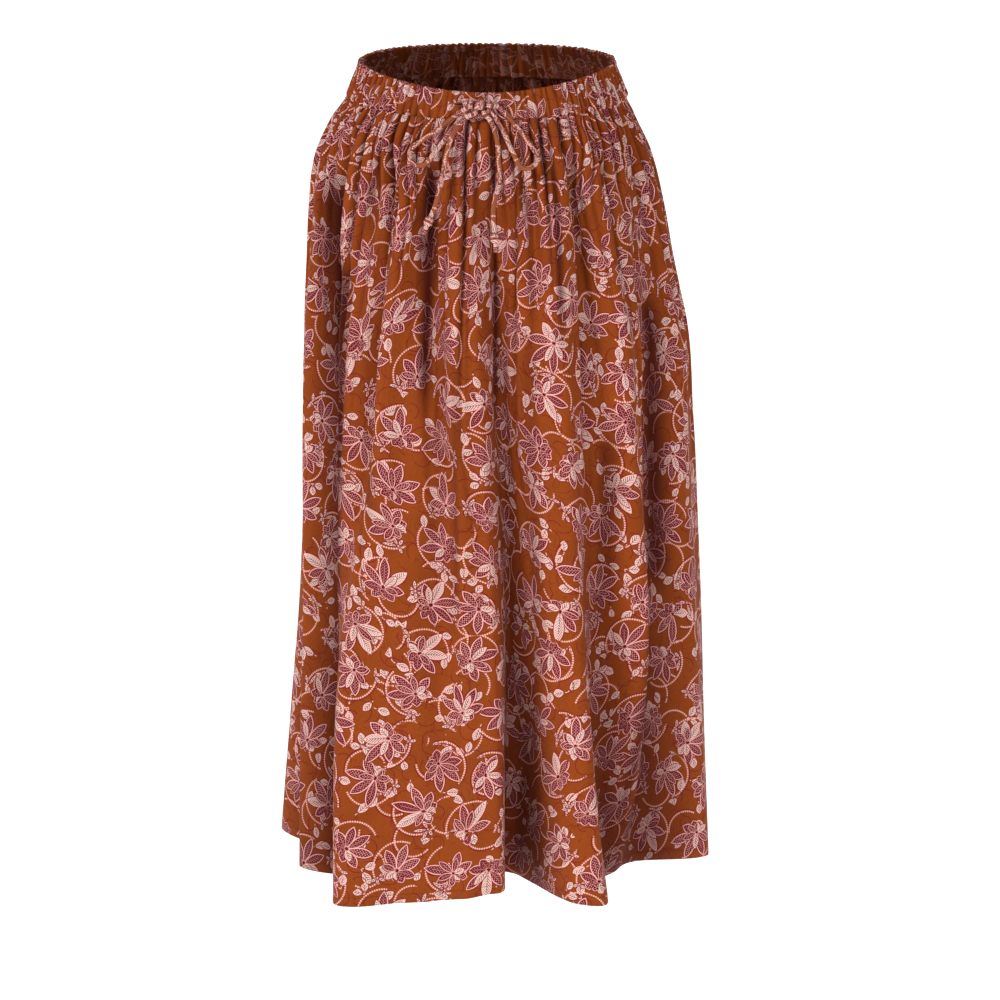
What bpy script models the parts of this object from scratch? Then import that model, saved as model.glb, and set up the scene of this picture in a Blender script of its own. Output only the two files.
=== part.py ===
"""A gathered midi skirt, worn shape: two panels, an elastic waist casing and a tied drawstring.

Metres, +Z up. The front faces -Y. The origin is the middle of the waist, at half the height of the casing.
A turn is an angle round the waist in degrees: 0 at the front, 90 at the +X side, 180 at the back.
A drop is the distance down the cloth from the casing's seam.
"""

import math
from collections import namedtuple

import bmesh
import bpy
import numpy as np
from mathutils import Vector

MM = 0.001

# Driving sizes
CLOTH_WALL = 1.0 * MM
CASING_WALL = 3.0 * MM
SEAM_GAP = 0.3 * MM
SEAM_EDGE = 1.0 * MM
CASING_HEIGHT_AT_FRONT = 26 * MM
CASING_HEIGHT = 35 * MM
WAIST_LOW_AT_FRONT = 8 * MM
WAIST_DIP = 5 * MM
HEM_LEVEL = -778 * MM
HEM_RISE_AT_BACK = 16 * MM
GATHERS_PER_PANEL = 30
COLUMNS_PER_GATHER = 4
GATHER_SPAN = 9 * MM
SEAM_OVERRUN = 9

# The waist casing's section from its upper edge down: share of its height, and half sizes across and along
Edge = namedtuple("Edge", "share across along")
CASING_SECTION = [
    Edge(0.0, 121, 98),
    Edge(0.12, 121, 98),
    Edge(0.5, 127.6, 102.8),
    Edge(0.88, 132, 106),
    Edge(1.0, 132, 106),
]
CASING_COLUMNS = 112
CASING_RUCHES = 56
CASING_RUCHE_DEPTH = 0.9

# The outline over the fold crests: half sizes in millimetres at each drop, and how square the section is
Level = namedtuple("Level", "drop left right front back squareness")
LEVELS = [
    Level(0, 132, 130, 106, 106, 2.0),
    Level(8, 136, 132, 111, 111, 2.0),
    Level(20, 143, 137, 115, 116, 2.0),
    Level(36, 150, 143, 120, 124, 2.05),
    Level(61, 159, 153, 128, 138, 2.1),
    Level(111, 167, 167, 138, 151, 2.15),
    Level(162, 172, 178, 144, 157, 2.2),
    Level(212, 177, 190, 149, 160, 2.25),
    Level(313, 182, 198, 153, 161, 2.3),
    Level(414, 185, 203, 156, 161, 2.4),
    Level(515, 189, 208, 158, 162, 2.5),
    Level(616, 197, 212, 160, 164, 2.6),
    Level(762, 209, 219, 162, 167, 2.7),
]

# The long folds: the turn of each one's middle and its depth in millimetres at the four stations (a valley is
# positive, a crest negative), its half widths in degrees to the left and right, at the hip and at the hem, and
# its lean, the way its bottom goes sideways under a neighbour for each millimetre of depth
STATIONS = (80, 270, 500, 762)
Fold = namedtuple("Fold", "turns depths hip hem lean")
FOLDS = {
    "left_side": Fold((-88, -89, -88, -86), (2, 8, 18, 40), (8, 10), (14, 20), 0.1),
    "left_front": Fold((-66, -67, -65, -62), (20, 42, 54, 66), (9, 9), (14, 12), 0.3),
    "left_hip": Fold((-43, -44, -44, -44), (10, 13, 0, 0), (8, 8), (8, 8), 0.0),
    "left_corner": Fold((-31, -35, -44, -42), (-5, -10, -12, -20), (7, 8), (8, 14), 0.0),
    "left_of_bow": Fold((-22, -19, -17, -15), (18, 17, 8, 3), (9, 9), (6, 8), 0.0),
    "bow_crest": Fold((-11, -10, -8, -6), (-4, -5, -4, -3), (5, 5), (5, 7), 0.0),
    "centre": Fold((2, 6, 11, 13.5), (16, 28, 42, 76), (9, 12), (10, 11), -0.05),
    "right_of_bow": Fold((17, 17, 19, 21), (11, 6, 2, 30), (5, 6), (9, 7), 0.2),
    "right_crest": Fold((26, 25, 28, 33), (-4, -8, -9, -15), (6, 6), (9, 8), 0.0),
    "right_front": Fold((39, 38, 41, 52), (19, 13, 27, 58), (6, 7), (17, 16), -0.1),
    "right_high": Fold((48, 47, 49, 54), (-5, -7, -8, 0), (6, 6), (6, 6), 0.0),
    "right_hip": Fold((63, 62, 62, 67), (9, 27, 44, 62), (7, 10), (15, 15), -0.15),
    "right_side": Fold((88, 93, 98, 102), (4, 8, 14, 26), (8, 12), (8, 12), 0.0),
    "right_back": Fold((112, 115, 120, 124), (8, 14, 26, 36), (7, 11), (7, 11), 0.3),
    "back_right": Fold((136, 137, 141, 146), (15, 22, 36, 50), (6, 12), (7, 11), -0.3),
    "back_near": Fold((157, 156, 160, 163), (9, 10, 5, 6), (6, 8), (6, 8), 0.0),
    "back_centre": Fold((176, 175, 178, 181), (20, 30, 44, 68), (6, 10), (6, 11), 0.25),
    "back_far": Fold((195, 197, 200, 203), (9, 8, 6, 10), (6, 8), (6, 8), 0.0),
    "back_left": Fold((213, 214, 217, 220), (14, 24, 38, 50), (6, 12), (6, 12), 0.35),
    "left_back": Fold((241, 242, 242, 241), (9, 15, 24, 36), (7, 10), (7, 10), -0.2),
}

# How much higher than its usual level the hem hangs, in millimetres, at turns from the back round to the back
HEM_LIFTS = (
    (-180, 0), (-120, 0), (-104, 4), (-88, 0), (-30, 0), (-14, 5), (7, 13), (16, 6), (26, 2), (40, 0), (64, 8), (82, 0),
    (180, 0),
)

# The gathers. The fine ones die out about FINE_REACH down, and the soft ones SOFT_REACH down, in millimetres. A wave
# varies them along a panel: its size, how many times it comes over the panel, and the angle it starts at
Wave = namedtuple("Wave", "size count start")
FINE_HEIGHT_AT_SEAM = 1.5
FINE_HEIGHT = 3.5
FINE_REACH = 70
FINE_REACH_WAVES = (Wave(26, 4, 0.6), Wave(16, 11, 0.0))
FINE_FADE = 1.6
SOFT_GATHERS = 12
SOFT_HEIGHT = 4.6
SOFT_SHIFT = Wave(0.22, 3, 1.0)
SOFT_REACH = 250
SOFT_REACH_WAVE = Wave(90, 5, 2.0)
SOFT_FADE = 1.5
LOW_WAVE = Wave(1.6, 6, 0.0)
LOW_WAVE_TURN = 0.004

# Drops of the rows of points down a panel, closer together where the gathers are
PANEL_ROWS = (0, 5, 14, 30, 58, 95, 140, 195, 260, 345, 455, 605, 762)
PANEL_LENGTH = PANEL_ROWS[-1]

# The drawstring, in millimetres. Its routes are x, z and the lift off the crests of the cloth
CORD_WIDTH = 4.6
CORD_STEP = 6.5
CORD_LEAD = 2.5
CORD_GAP = 0.35
KNOT_MIDDLE = (-7.0, -11.0)
KNOT_LIFT = 7.8
KNOT_HALF = (7.0, 5.4, 6.0)
SLIT_LIFT = -0.75
SLIT_LEAD = 1.5
KNOT_LEAD = 3
RIGHT_SLIT = (7.5, -11.5)
LEFT_SLIT = (-21.5, -11.0)

# The way each strand leaves the knot: across, outwards and up
Leaving = namedtuple("Leaving", "across out up")
RIGHT_LOOP_OVER = Leaving(0.93, 0.35, 0.05)
RIGHT_LOOP_UNDER = Leaving(0.72, -0.30, -0.62)
RIGHT_TAIL_OUT = Leaving(0.42, 0.50, -0.76)
RIGHT_SLIT_OUT = Leaving(0.75, -0.62, 0.30)
LEFT_LOOP_OVER = Leaving(-0.93, 0.35, -0.05)
LEFT_LOOP_UNDER = Leaving(-0.72, -0.30, -0.62)
LEFT_TAIL_OUT = Leaving(-0.42, 0.50, -0.76)
LEFT_SLIT_OUT = Leaving(-0.75, -0.60, 0.30)

RIGHT_LOOP = [
    (9, -11.5, 3), (16, -18, 2), (23, -25.5, 1), (30, -33.5, 0.5), (37, -42, 0.2), (43.2, -50.5, 0.3),
    (45.7, -54.3, 0.3), (46.2, -59.1, 0.4), (44.1, -63.5, 0.6), (40.2, -66.2, 0.6), (35.4, -66.7, 0.6),
    (31, -64.6, 0.4), (28.6, -61.4, 0.3), (25, -55, 0.3), (21, -47, 0.3), (17, -38, 0.3), (12, -29, 0.7),
    (7, -21.5, 1.7),
]
LEFT_LOOP = [
    (-22, -16, 2.5), (-30, -21.6, 1.5), (-39, -28, 1), (-48, -34.4, 0.6), (-57, -40.7, 0.4), (-63, -45, 0.3),
    (-67.9, -48.4, 0.3), (-70.6, -51.4, 0.3), (-71.8, -56, 0.4), (-70.6, -60.7, 0.5), (-67.2, -64.1, 0.5),
    (-62.5, -65.3, 0.5), (-57.9, -64.1, 0.4), (-55.2, -61.8, 0.3), (-49.5, -54.6, 0.2), (-43, -46.4, 0.2),
    (-36.5, -38.2, 0.3), (-30, -30, 0.6), (-23, -22, 1.2),
]
RIGHT_TAIL = [
    (2, -23, 4), (6, -30, 3.5), (8.5, -38, 2.5), (10, -47, 1.2), (10.5, -57, 0.5), (12, -68, 0.2),
    (11, -79, 0), (8, -90, 0), (6, -101, 0), (6, -112, 0), (7, -124, 0),
]
LEFT_TAIL = [
    (-17, -20, 5.5), (-25, -26.5, 7), (-31, -35, 6.8), (-35, -44, 5), (-37.5, -54, 2.2), (-39, -63, 0.6), (-41, -73, 0.2),
    (-43.5, -83, 0), (-46, -93, 0), (-48.5, -102, 0), (-52, -110, 0),
]

# A tail's end knot and the cut tip below it, as a turned section: how far down and how wide from its middle
END_SECTION = [(0, 0), (0.3, 2.6), (2.2, 4.3), (4.8, 4.6), (7.2, 3.9), (8.4, 2.5), (11, 2.2), (17, 2.6), (17.6, 0)]

RUST = (0.60, 0.26, 0.08, 1.0)
DARK_RUST = (0.42, 0.15, 0.08, 1.0)
CORD_PINK = (0.66, 0.38, 0.30, 1.0)


def ease(value, start, end):
    """0 before start, 1 after end, and a smooth rise between them."""
    share = np.clip((value - start) / (end - start), 0.0, 1.0)
    return share * share * (3 - 2 * share)


def through(at, places, values):
    """A smooth curve through the values at the places, read at `at`."""
    places = np.asarray(places, float)
    values = np.asarray(values, float)
    slopes = np.gradient(values, places)
    at = np.clip(at, places[0], places[-1])
    cell = np.clip(np.searchsorted(places, at, side="right") - 1, 0, len(places) - 2)
    width = places[cell + 1] - places[cell]
    t = (at - places[cell]) / width
    return (
        (1 + 2 * t) * (1 - t) ** 2 * values[cell]
        + t * (1 - t) ** 2 * width * slopes[cell]
        + t * t * (3 - 2 * t) * values[cell + 1]
        + t * t * (t - 1) * width * slopes[cell + 1]
    )


def level_size(drop, column):
    return through(drop, [level.drop for level in LEVELS], [getattr(level, column) for level in LEVELS])


def long_folds(drop, turn):
    """How far the long folds lie inside the outline and go sideways, in millimetres, at each turn of one drop."""
    inside = np.zeros_like(turn)
    sideways = np.zeros_like(turn)
    down = min(max((drop - STATIONS[0]) / (STATIONS[-1] - STATIONS[0]), 0.0), 1.0)
    for fold in FOLDS.values():
        middle = through(drop, STATIONS, fold.turns)
        depth = through(drop, STATIONS, fold.depths) * ease(drop, 12, 80)
        away = (turn - middle + 180) % 360 - 180
        left, right = (hip + (hem - hip) * down for hip, hem in zip(fold.hip, fold.hem))
        reach = np.clip(away / np.where(away < 0, left, right), -1, 1)
        form = depth * (0.5 + 0.5 * np.cos(math.pi * reach))
        inside += form
        sideways += form * fold.lean
    return inside, sideways


def outline(drop, turn):
    """Points of the folded section at one drop, in metres, before the gathers are added."""
    angle = np.radians(turn)
    across, along = np.sin(angle), -np.cos(angle)
    side = np.where(across < 0, level_size(drop, "left"), level_size(drop, "right"))
    depth = np.where(along < 0, level_size(drop, "front"), level_size(drop, "back"))
    power = level_size(drop, "squareness")
    radius = (np.abs(across / side) ** power + np.abs(along / depth) ** power) ** (-1 / power)
    inside, sideways = long_folds(drop, turn)
    radius = radius - inside
    return np.stack([across * radius - along * sideways, along * radius + across * sideways], axis=1) * MM


def wave(shape, share, further=0.0):
    return shape.size * np.sin(2 * math.pi * shape.count * share + shape.start + further)


def gather_height(drop):
    return FINE_HEIGHT_AT_SEAM + (FINE_HEIGHT - FINE_HEIGHT_AT_SEAM) * ease(drop, 0, 14)


def soft_height(drop):
    return SOFT_HEIGHT * ease(drop, 4, 60)


def gathers(drop, share):
    """How far the small gathers stand out, in millimetres. share runs from 0 to 1 along one panel."""
    reach = FINE_REACH + sum(wave(shape, share) for shape in FINE_REACH_WAVES)
    fine = gather_height(drop) * np.exp(-((max(drop - 14, 0) / reach) ** FINE_FADE))
    fine = -fine * np.cos(2 * math.pi * GATHERS_PER_PANEL * share)
    reach = SOFT_REACH + wave(SOFT_REACH_WAVE, share)
    soft = soft_height(drop) * np.exp(-((max(drop - 60, 0) / reach) ** SOFT_FADE))
    soft = soft * np.cos(2 * math.pi * (SOFT_GATHERS * share + wave(SOFT_SHIFT, share)))
    low = ease(drop, 200, 500) * wave(LOW_WAVE, share, LOW_WAVE_TURN * drop)
    return fine + soft + low


def waist_height(turn):
    """Height of the casing's middle line, which dips towards the front."""
    facing = np.cos(np.radians(turn))
    return -(WAIST_LOW_AT_FRONT + WAIST_DIP * facing) * facing


def casing_height(turn):
    """The casing is less tall across the front, where the cord pulls it together."""
    facing = np.clip(np.cos(np.radians(turn)), 0, 1) ** 2
    return CASING_HEIGHT + (CASING_HEIGHT_AT_FRONT - CASING_HEIGHT) * facing


def hem_height(turn):
    """Height of the hem, which hangs a little higher where the cloth is caught up."""
    turns, lifts = zip(*HEM_LIFTS)
    lift = through((np.asarray(turn, float) + 180) % 360 - 180, turns, lifts) * MM
    return HEM_LEVEL + HEM_RISE_AT_BACK * (1 - np.cos(np.radians(turn))) / 2 + lift


def panel_ring(drop, start, end, columns):
    """One row of a panel's outer face: points spread evenly along the cloth from the start turn to the end turn.

    The gathers stand square to the line over GATHER_SPAN each way, and die out where a long fold bends sharply.
    """
    turn = np.linspace(start - SEAM_OVERRUN, end + SEAM_OVERRUN, 3600)
    line = outline(drop, turn)
    steps = np.linalg.norm(np.diff(line, axis=0), axis=1)
    along = np.concatenate([[0], np.cumsum(steps)])
    first, last = np.interp((start, end), turn, along)
    edge = SEAM_EDGE / (last - first)
    share = np.concatenate([[0], np.linspace(edge, 1 - edge, columns + 1), [1]])
    at = first + share * (last - first)
    points = np.stack([np.interp(at, along, line[:, axis]) for axis in (0, 1)], axis=1)
    turns = np.interp(at, along, turn)
    ahead, behind = (
        np.stack([np.interp(at + reach, along, line[:, axis]) for axis in (0, 1)], axis=1)
        for reach in (GATHER_SPAN, -GATHER_SPAN)
    )
    chord = ahead - behind
    length = np.linalg.norm(chord, axis=1)
    outward = np.stack([chord[:, 1], -chord[:, 0]], axis=1) / length[:, None]
    straight = ease(length / (2 * GATHER_SPAN), 0.7, 0.97)
    points += outward * (gathers(drop, share) * straight * MM)[:, None]
    top = waist_height(turns) - casing_height(turns) / 2 - SEAM_GAP
    height = top + (hem_height(turns) - top) * drop / PANEL_LENGTH
    return np.column_stack([points, height])


def cloth_material(name, colour, roughness=0.85):
    material = bpy.data.materials.new(name)
    material.use_nodes = True
    shader = material.node_tree.nodes["Principled BSDF"]
    shader.inputs["Base Color"].default_value = colour
    shader.inputs["Roughness"].default_value = roughness
    shader.inputs["Metallic"].default_value = 0.0
    return material


def add_object(name, data, collection, material):
    made = bpy.data.objects.new(name, data)
    collection.objects.link(made)
    if material:
        data.materials.append(material)
    return made


def sheet_from_rows(name, rows, collection, material, wall, closed=False):
    """An open sheet through rows of points, given a wall towards its inside."""
    count = len(rows[0])
    form = bmesh.new()
    lines = [[form.verts.new(point) for point in row] for row in rows]
    for upper, lower in zip(lines, lines[1:]):
        for i in range(count if closed else count - 1):
            after = (i + 1) % count
            form.faces.new((upper[i], lower[i], lower[after], upper[after]))
    mesh = bpy.data.meshes.new(name)
    form.to_mesh(mesh)
    form.free()
    mesh.shade_smooth()
    made = add_object(name, mesh, collection, material)
    thicken = made.modifiers.new("wall", "SOLIDIFY")
    thicken.thickness = wall
    thicken.offset = -1
    return made


def make_panel(name, start, end, collection, material):
    """One gathered panel between the side seams."""
    hair = math.degrees(SEAM_GAP / 2 / (LEVELS[0].left * MM))
    columns = GATHERS_PER_PANEL * COLUMNS_PER_GATHER
    rows = [panel_ring(drop, start + hair, end - hair, columns) for drop in PANEL_ROWS]
    return sheet_from_rows(name, rows, collection, material, CLOTH_WALL)


def casing_ring(edge):
    """One row of the casing's outer face, with the ruches that the elastic draws up."""
    turn = np.linspace(0, 360, CASING_COLUMNS, endpoint=False)
    angle = np.radians(turn)
    slack = 0.35 + 0.65 * ease(np.abs((turn + 180) % 360 - 180), 15, 75)
    ruche = CASING_RUCHE_DEPTH * slack * np.cos(CASING_RUCHES * angle)
    x = (edge.across + ruche) * np.sin(angle) * MM
    y = -(edge.along + ruche) * np.cos(angle) * MM
    facing = np.degrees(np.arctan2(x, -y))
    z = waist_height(facing) + casing_height(facing) * (0.5 - edge.share)
    return np.column_stack([x, y, z])


def make_casing(collection, material):
    rows = [casing_ring(edge) for edge in CASING_SECTION]
    return sheet_from_rows("waist_casing", rows, collection, material, CASING_WALL, closed=True)


def front_crest(x, z):
    """The y in millimetres of the front's outermost crests at x and z, all in millimetres."""
    turn = math.degrees(math.asin(x / CASING_SECTION[-1].across))
    height = casing_height(turn) / MM
    drop = waist_height(turn) / MM - height / 2 - z
    if drop < 0:
        share = 1 + drop / height
        shares, acrosses, alongs = zip(*CASING_SECTION)
        across, along = np.interp(share, shares, acrosses), np.interp(share, shares, alongs)
        return -along * math.sqrt(1 - (x / across) ** 2) - CASING_RUCHE_DEPTH / 2
    across = level_size(drop, "left" if x < 0 else "right")
    along = level_size(drop, "front")
    power = level_size(drop, "squareness")
    crest = gather_height(drop) + soft_height(drop)
    return -along * (1 - (abs(x) / across) ** power) ** (1 / power) - crest


def on_front(x, z, lift):
    """A point of the drawstring, in millimetres, with its underside that far off the crests."""
    return np.array([x, front_crest(x, z) - CORD_WIDTH / 2 - CORD_GAP - lift, z])


def knot_middle():
    x, z = KNOT_MIDDLE
    return np.array([x, front_crest(x, z) - KNOT_LIFT, z])


def off_knot(leaving, further=0.0):
    """A point just off the knot's face, or further out, square to the face where a strand leaves it."""
    way = np.array([leaving.across, -leaving.out, leaving.up])
    way = way / np.linalg.norm(way)
    half = np.array(KNOT_HALF)
    face = half * half * way / np.linalg.norm(half * way)
    return knot_middle() + face + way * (CORD_GAP + further)


def smooth_route(points):
    """Points a step apart on a smooth curve through a route's own points, with a short straight lead at each end."""
    points = np.array(points, float)
    along = np.concatenate([[0], np.cumsum(np.linalg.norm(np.diff(points, axis=0), axis=1))])
    fine = np.linspace(0, along[-1], 600)
    line = np.stack([through(fine, along, points[:, axis]) for axis in range(3)], axis=1)
    length = np.concatenate([[0], np.cumsum(np.linalg.norm(np.diff(line, axis=0), axis=1))])
    lead = min(CORD_LEAD, length[-1] / 4)
    inner = np.linspace(lead, length[-1] - lead, max(round(length[-1] / CORD_STEP), 1) + 1)
    at = np.concatenate([[0], inner, [length[-1]]])
    return np.stack([np.interp(at, length, line[:, axis]) for axis in range(3)], axis=1)


def make_tube(name, points, collection, material):
    """A stretch of the drawstring along its route, in millimetres."""
    line = smooth_route(points)
    curve = bpy.data.curves.new(name, "CURVE")
    curve.dimensions = "3D"
    curve.bevel_depth = CORD_WIDTH / 2 * MM
    curve.bevel_resolution = 2
    curve.use_fill_caps = True
    spline = curve.splines.new("POLY")
    spline.points.add(len(line) - 1)
    for point, place in zip(spline.points, line):
        point.co = (*(place * MM), 1)
    return add_object(name, curve, collection, material)


def make_knot(collection, material):
    form = bmesh.new()
    bmesh.ops.create_uvsphere(form, u_segments=16, v_segments=10, radius=1)
    bmesh.ops.scale(form, vec=Vector(KNOT_HALF) * MM, verts=form.verts)
    mesh = bpy.data.meshes.new("bow_knot")
    form.to_mesh(mesh)
    form.free()
    mesh.shade_smooth()
    knot = add_object("bow_knot", mesh, collection, material)
    knot.location = Vector(knot_middle() * MM)


def make_end_knot(name, tail, collection, material):
    """The overhand knot on a tail's end: a turned section that starts just past the tail."""
    end, before = (Vector(point) for point in (tail[-1], tail[-2]))
    way = (end - before).normalized()
    mesh = bpy.data.meshes.new(name)
    form = bmesh.new()
    last = None
    for down, wide in END_SECTION:
        vertex = form.verts.new((wide * MM, 0, -down * MM))
        if last:
            form.edges.new((last, vertex))
        last = vertex
    form.to_mesh(mesh)
    form.free()
    made = add_object(name, mesh, collection, material)
    turned = made.modifiers.new("turned", "SCREW")
    turned.steps = turned.render_steps = 12
    turned.use_merge_vertices = True
    turned.merge_threshold = 0.00001
    made.rotation_euler = way.to_track_quat("-Z", "Y").to_euler()
    made.location = (end + way * CORD_GAP) * MM


def make_drawstring(collection, material):
    """The cord out of the casing's two slits, its knot, both loops and both tails."""
    make_knot(collection, material)
    for name, slit, leaving in (
        ("slit_cord_left", LEFT_SLIT, LEFT_SLIT_OUT),
        ("slit_cord_right", RIGHT_SLIT, RIGHT_SLIT_OUT),
    ):
        points = [off_knot(leaving), off_knot(leaving, SLIT_LEAD), on_front(*slit, SLIT_LIFT)]
        make_tube(name, points, collection, material)
    for name, route, over, under in (
        ("bow_loop_left", LEFT_LOOP, LEFT_LOOP_OVER, LEFT_LOOP_UNDER),
        ("bow_loop_right", RIGHT_LOOP, RIGHT_LOOP_OVER, RIGHT_LOOP_UNDER),
    ):
        between = [on_front(*point) for point in route]
        points = [off_knot(over), off_knot(over, KNOT_LEAD), *between, off_knot(under, KNOT_LEAD), off_knot(under)]
        make_tube(name, points, collection, material)
    for side, route, leaving in (("left", LEFT_TAIL, LEFT_TAIL_OUT), ("right", RIGHT_TAIL, RIGHT_TAIL_OUT)):
        points = [off_knot(leaving), off_knot(leaving, KNOT_LEAD), *(on_front(*point) for point in route)]
        make_tube(f"cord_tail_{side}", points, collection, material)
        make_end_knot(f"end_knot_{side}", points, collection, material)


def main():
    for old in list(bpy.data.objects):
        bpy.data.objects.remove(old)
    collection = bpy.data.collections.new("midi_skirt")
    bpy.context.scene.collection.children.link(collection)
    print_cloth = cloth_material("printed_cotton", RUST)
    make_panel("front_panel", -90, 90, collection, print_cloth)
    make_panel("back_panel", 90, 270, collection, print_cloth)
    make_casing(collection, cloth_material("casing_cotton", DARK_RUST))
    make_drawstring(collection, cloth_material("cord_cotton", CORD_PINK))


main()
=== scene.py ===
"""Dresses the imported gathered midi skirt: printed panels, a ruched casing, a tied drawstring and a stage.

Metres, +Z up, the front faces -Y, the origin is the middle of the waist. A turn is degrees round the waist:
0 at the front, 90 at the +X side, 180 at the back. A drop is millimetres down the cloth from the seam under
the casing.
"""

import math
from collections import namedtuple
from functools import partialmethod

import bpy
import numpy as np
from bpy.props import FloatProperty, FloatVectorProperty, IntProperty, PointerProperty
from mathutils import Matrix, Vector


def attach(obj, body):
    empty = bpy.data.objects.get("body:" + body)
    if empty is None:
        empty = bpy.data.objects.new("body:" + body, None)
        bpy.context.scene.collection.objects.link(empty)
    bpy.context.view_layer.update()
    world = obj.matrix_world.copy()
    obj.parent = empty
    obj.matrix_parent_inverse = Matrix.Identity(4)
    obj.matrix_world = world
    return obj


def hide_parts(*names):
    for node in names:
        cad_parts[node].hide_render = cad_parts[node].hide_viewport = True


bl_info = {
    "name": "Gathered midi skirt",
    "version": (1, 0, 0),
    "blender": (4, 5, 0),
    "location": "3D View > Sidebar > Midi skirt",
    "description": "Makes a gathered, printed midi skirt with a drawstring bow",
    "category": "Object",
}

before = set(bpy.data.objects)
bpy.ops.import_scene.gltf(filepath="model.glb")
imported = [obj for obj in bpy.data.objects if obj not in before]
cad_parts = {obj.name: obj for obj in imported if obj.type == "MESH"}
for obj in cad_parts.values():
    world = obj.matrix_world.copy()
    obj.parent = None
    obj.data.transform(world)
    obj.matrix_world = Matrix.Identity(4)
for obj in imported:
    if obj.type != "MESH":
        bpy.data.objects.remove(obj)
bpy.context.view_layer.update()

MM = 0.001
SEED = 11

SEAM_TUCK = 1.2 * MM
CASING_HEIGHT_AT_FRONT = 26 * MM
CASING_HEIGHT = 35 * MM
WAIST_LOW_AT_FRONT = 8 * MM
WAIST_DIP = 5 * MM
HEM_LEVEL = -778 * MM
HEM_RISE_AT_BACK = 16 * MM

# A panel's length in millimetres, how many degrees past its seams its section is read, and how far on each
# side of a point the cloth gives the way outwards there
PANEL_LENGTH = 762
SEAM_OVERRUN = 9
GATHER_SPAN = 9 * MM

# The waist casing's section from its upper edge down: share of its height, and half sizes across and along
Edge = namedtuple("Edge", "share across along")
CASING_SECTION = [
    Edge(0.0, 121, 98),
    Edge(0.12, 121, 98),
    Edge(0.5, 127.6, 102.8),
    Edge(0.88, 132, 106),
    Edge(1.0, 132, 106),
]
CASING_RUCHE_DEPTH = 0.9

# The casing as it shows, in millimetres: how far its edges round off, how far its upper edge goes up and down
# with the ruches, and where its cloth starts on the print and how high it is. CASING_DRAWN is the share of a
# ruche that the elastic presses flat half way down
CASING_ROWS = 26
CASING_ROUNDING = 1.1
CASING_RIPPLE = 0.6
CASING_DRAWN = 0.45
CASING_PRINT_TOP = 200
CASING_CLOTH_HEIGHT = 36
# RUCHE_SHADE is how strongly shade is painted into the ruches' valleys
RUCHE_SHADE = 0.8

# The outline over the fold crests: half sizes in millimetres at each drop, and how square the section is
Level = namedtuple("Level", "drop left right front back squareness")
LEVELS = [
    Level(0, 132, 130, 106, 106, 2.0),
    Level(8, 136, 132, 111, 111, 2.0),
    Level(20, 143, 137, 115, 116, 2.0),
    Level(36, 150, 143, 120, 124, 2.05),
    Level(61, 159, 153, 128, 138, 2.1),
    Level(111, 167, 167, 138, 151, 2.15),
    Level(162, 172, 178, 144, 157, 2.2),
    Level(212, 177, 190, 149, 160, 2.25),
    Level(313, 182, 198, 153, 161, 2.3),
    Level(414, 185, 203, 156, 161, 2.4),
    Level(515, 189, 208, 158, 162, 2.5),
    Level(616, 197, 212, 160, 164, 2.6),
    Level(762, 209, 219, 162, 167, 2.7),
]

# The long folds: the turn of each one's middle and its depth in millimetres at the four stations (a valley is
# positive, a crest negative), its half widths in degrees to the left and right, at the hip and at the hem,
# and its lean, the way its bottom goes sideways under a neighbour for each millimetre of depth
STATIONS = (80, 270, 500, 762)
Fold = namedtuple("Fold", "turns depths hip hem lean")
FOLDS = {
    "left_side": Fold((-88, -89, -88, -86), (2, 8, 18, 40), (8, 10), (14, 20), 0.1),
    "left_front": Fold((-66, -67, -65, -62), (20, 42, 54, 66), (9, 12), (14, 15), 0.3),
    "left_hip": Fold((-43, -44, -44, -44), (10, 13, 0, 0), (8, 8), (8, 8), 0.0),
    "left_corner": Fold((-31, -35, -44, -42), (-5, -10, -12, -20), (7, 8), (8, 14), 0.0),
    "left_of_bow": Fold((-22, -19, -17, -15), (18, 17, 8, 3), (9, 9), (6, 8), 0.0),
    "bow_crest": Fold((-11, -10, -8, -6), (-4, -5, -4, -3), (5, 5), (5, 7), 0.0),
    "centre": Fold((2, 6, 11, 13.5), (16, 28, 42, 76), (9, 12), (10, 11), -0.05),
    "right_of_bow": Fold((17, 17, 19, 21), (11, 6, 2, 30), (5, 6), (9, 7), 0.2),
    "right_crest": Fold((26, 25, 28, 33), (-4, -8, -9, -15), (6, 6), (9, 8), 0.0),
    "right_front": Fold((39, 38, 41, 52), (19, 13, 27, 58), (6, 7), (17, 16), -0.1),
    "right_high": Fold((48, 47, 49, 54), (-5, -7, -8, 0), (6, 6), (6, 6), 0.0),
    "right_hip": Fold((63, 62, 62, 67), (9, 27, 44, 62), (7, 10), (15, 15), -0.15),
    "right_side": Fold((88, 93, 98, 102), (4, 8, 14, 26), (8, 12), (8, 12), 0.0),
    "right_back": Fold((112, 115, 120, 124), (8, 14, 26, 36), (7, 11), (7, 11), 0.3),
    "back_right": Fold((136, 137, 141, 146), (15, 22, 36, 50), (6, 12), (7, 11), -0.3),
    "back_near": Fold((157, 156, 160, 163), (9, 10, 5, 6), (6, 8), (6, 8), 0.0),
    "back_centre": Fold((176, 175, 178, 181), (20, 30, 44, 68), (6, 10), (6, 11), 0.25),
    "back_far": Fold((195, 197, 200, 203), (9, 8, 6, 10), (6, 8), (6, 8), 0.0),
    "back_left": Fold((213, 214, 217, 220), (14, 24, 38, 50), (6, 12), (6, 12), 0.35),
    "left_back": Fold((241, 242, 242, 241), (9, 15, 24, 36), (7, 10), (7, 10), -0.2),
}

# How much higher than its usual level the hem hangs, in millimetres, at turns from the back round to the back
HEM_LIFTS = (
    (-180, 0), (-120, 0), (-104, 4), (-88, 0), (-30, 0), (-14, 5), (7, 13), (16, 6), (26, 2), (40, 0),
    (64, 8), (82, 0), (180, 0),
)

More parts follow.
